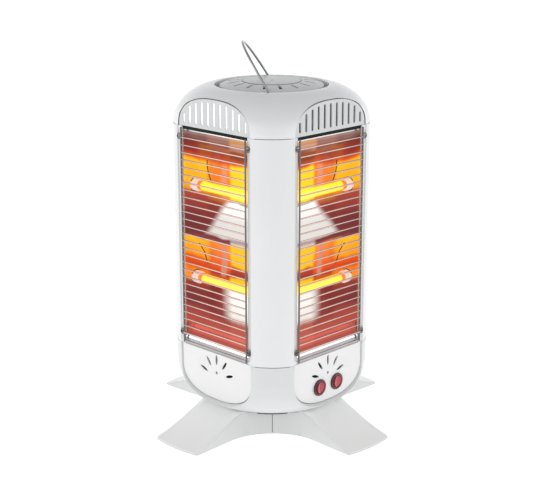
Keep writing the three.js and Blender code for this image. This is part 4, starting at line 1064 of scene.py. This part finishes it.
def feet():
    sides, low, sheet = 384, 1.0, 3.0
    angles = [2 * pi * (i + 0.5) / sides for i in range(sides)]
    outline = [foot_outline(a) for a in angles]

    def ring(reach, height):
        """Row round the foot: reach works out its radius from the edge's, and height uses both."""
        points = []
        for a, edge in zip(angles, outline):
            r = reach(edge)
            points.append((r * cos(a), r * sin(a), height(r, edge)))
        return points

    def top(r, edge):
        fillet, inset = min(3.5, (foot_height(edge) - low) * 0.75), edge - r
        if inset >= fillet:
            return foot_height(r)
        return foot_height(r) - (fillet - sqrt(max(fillet ** 2 - (fillet - inset) ** 2, 0)))

    insets = [0.0, 0.1, 0.3, 0.6, 1.0, 1.5, 2.1, 2.9, 3.8, 5.0, 7.0, 10.0, 14.0]
    rows = [ring(lambda edge: edge - inset, top) for inset in insets]
    for share in [0.92, 0.82, 0.72, 0.6, 0.45, 0.3, 0.15, 0.0]:
        rows.append(ring(lambda edge: (edge - insets[-1]) * share + 0.01, lambda r, edge: foot_height(r)))
    for share in [0.0, 0.3, 0.6, 0.8, 0.9, 0.96, 1.0]:
        rows.append(ring(lambda edge: (edge - sheet) * share + 0.01,
                         lambda r, edge: max(foot_height(r) - sheet, low + 0.4)))
    for inset, z in ((sheet, low), (0.3, low), (0.0, low + 0.3)):
        rows.append(ring(lambda edge: edge - inset, lambda r, edge: z))

    gap, far = 0.45, 260.0
    corners = [(-2 * far, gap), (2 * far, gap), (2 * far, far), (-2 * far, far)]
    for turns, name in ((0.5, "left"), (2.5, "right")):
        block = Build().add(*prism([[(x, y, z) for x, y in corners] for z in (-20, 80)]), 0, quarter(turns))
        mesh = boolean(Build().add(*grid(rows)).mesh("foot"), [block.mesh("block")], "INTERSECT")
        finish_mesh(mesh, 30)
        # walls get the painted shade, tops the painted light
        paint(mesh, lambda x, y, z, normal: normal.z <= 0.55)
        place("foot_shell_" + name, mesh, [FOOT_PAINTED_LIGHT, FOOT_WALL_PAINTED_SHADE], ["foot_half_" + name])


def foot_shades():
    """Painted shade: a dark ring under the body where it sits on the foot, and a dark sheet in the joint between
    the foot's halves.
    """
    profile = [(84.2, 30.4), (87.2, 30.4), (87.6, 31.0), (87.6, 35.75), (96.5, 35.75), (96.5, 35.95),
               (84.2, 35.95)]
    shade_ring = Build().add(*lathe(profile, 128))
    place("body_contact_shade", shade_ring.mesh("body_contact_shade"), [GAP_SHADE], ())
    outline = [(79.8, 2), (81.6, 2), (81.6, 31.2), (80.7, 33.4), (78.8, 34.9), (24, 34.9), (24, 33.1),
               (78.2, 33.1), (79.8, 31.0)]
    for sign, name in ((1, "front"), (-1, "back")):
        face_plate("foot_gap_shade_" + name, [[(sign * x, z) for x, z in outline]], 0.8, 0.05, 0.0, 1.5, GAP_SHADE)


# ---------------------------------------------------------------- make everything
top_cap()
lower_moulding()
corner_posts()
seam_shades()
arch_vents()
lower_panels()
sills()
reflectors()
end_plates()
lamps()
guards()
top_disc()
bail()
switches()
small_parts()
feet()
foot_shades()

for node in ("deck_lower", "deck_upper"):
    obj = bpy.data.objects[node]
    for holder in obj.material_slots:
        holder.material = STEEL

# ---------------------------------------------------------------- floor, light, camera
floor_mesh = bpy.data.meshes.new("floor")
floor_mesh.from_pydata([(-12, -12, 0), (12, -12, 0), (12, 12, 0), (-12, 12, 0)], [], [[0, 1, 2, 3]])
floor_mesh.materials.append(material("floor_paint", (0.9, 0.9, 0.9), 0.9, spread=0.004, bump=0.02,
                                     emission=LIGHT, strength=0.5))
floor = linked("floor", floor_mesh)

world = bpy.data.worlds.new("studio")
bpy.context.scene.world = world
world.use_nodes = True
sky = world.node_tree
backdrop = sky.nodes["Background"]
backdrop.inputs["Strength"].default_value = 1.0
split = add_node(sky, "SeparateXYZ")
sky.links.new(add_node(sky, "TexCoord").outputs["Generated"], split.inputs[0])
shades = add_ramp(sky, [(0.0, LIGHT), (0.08, LIGHT), (0.24, (0.90, 0.90, 0.90)), (0.5, (0.66, 0.665, 0.67)),
                        (1.0, (0.40, 0.41, 0.415))], split.outputs["Z"])
sky.links.new(shades, backdrop.inputs["Color"])


def soft_light(name, place_at, target, size, power):
    data = bpy.data.lights.new(name, "AREA")
    data.shape = "SQUARE"
    data.size = size
    data.energy = power
    obj = linked(name, data)
    obj.location = place_at
    obj.rotation_euler = (Vector(target) - Vector(place_at)).to_track_quat("-Z", "Y").to_euler()


soft_light("left_soft", (-2.4, 1.8, 1.1), (0, 0, 0.3), 1.6, 13)
soft_light("right_soft", (1.8, -2.4, 1.1), (0, 0, 0.3), 1.6, 9)

camera_data = bpy.data.cameras.new("camera")
camera_data.sensor_width = 36
camera_data.lens = 89.26
camera = linked("camera", camera_data)
camera.location = (-1.2444, -1.2219, 0.7259)
look = Vector((0.6869, 0.6737, -0.2725))
camera.rotation_euler = look.to_track_quat("-Z", "Y").to_euler()
bpy.context.scene.camera = camera
bpy.context.scene.view_settings.view_transform = "Standard"
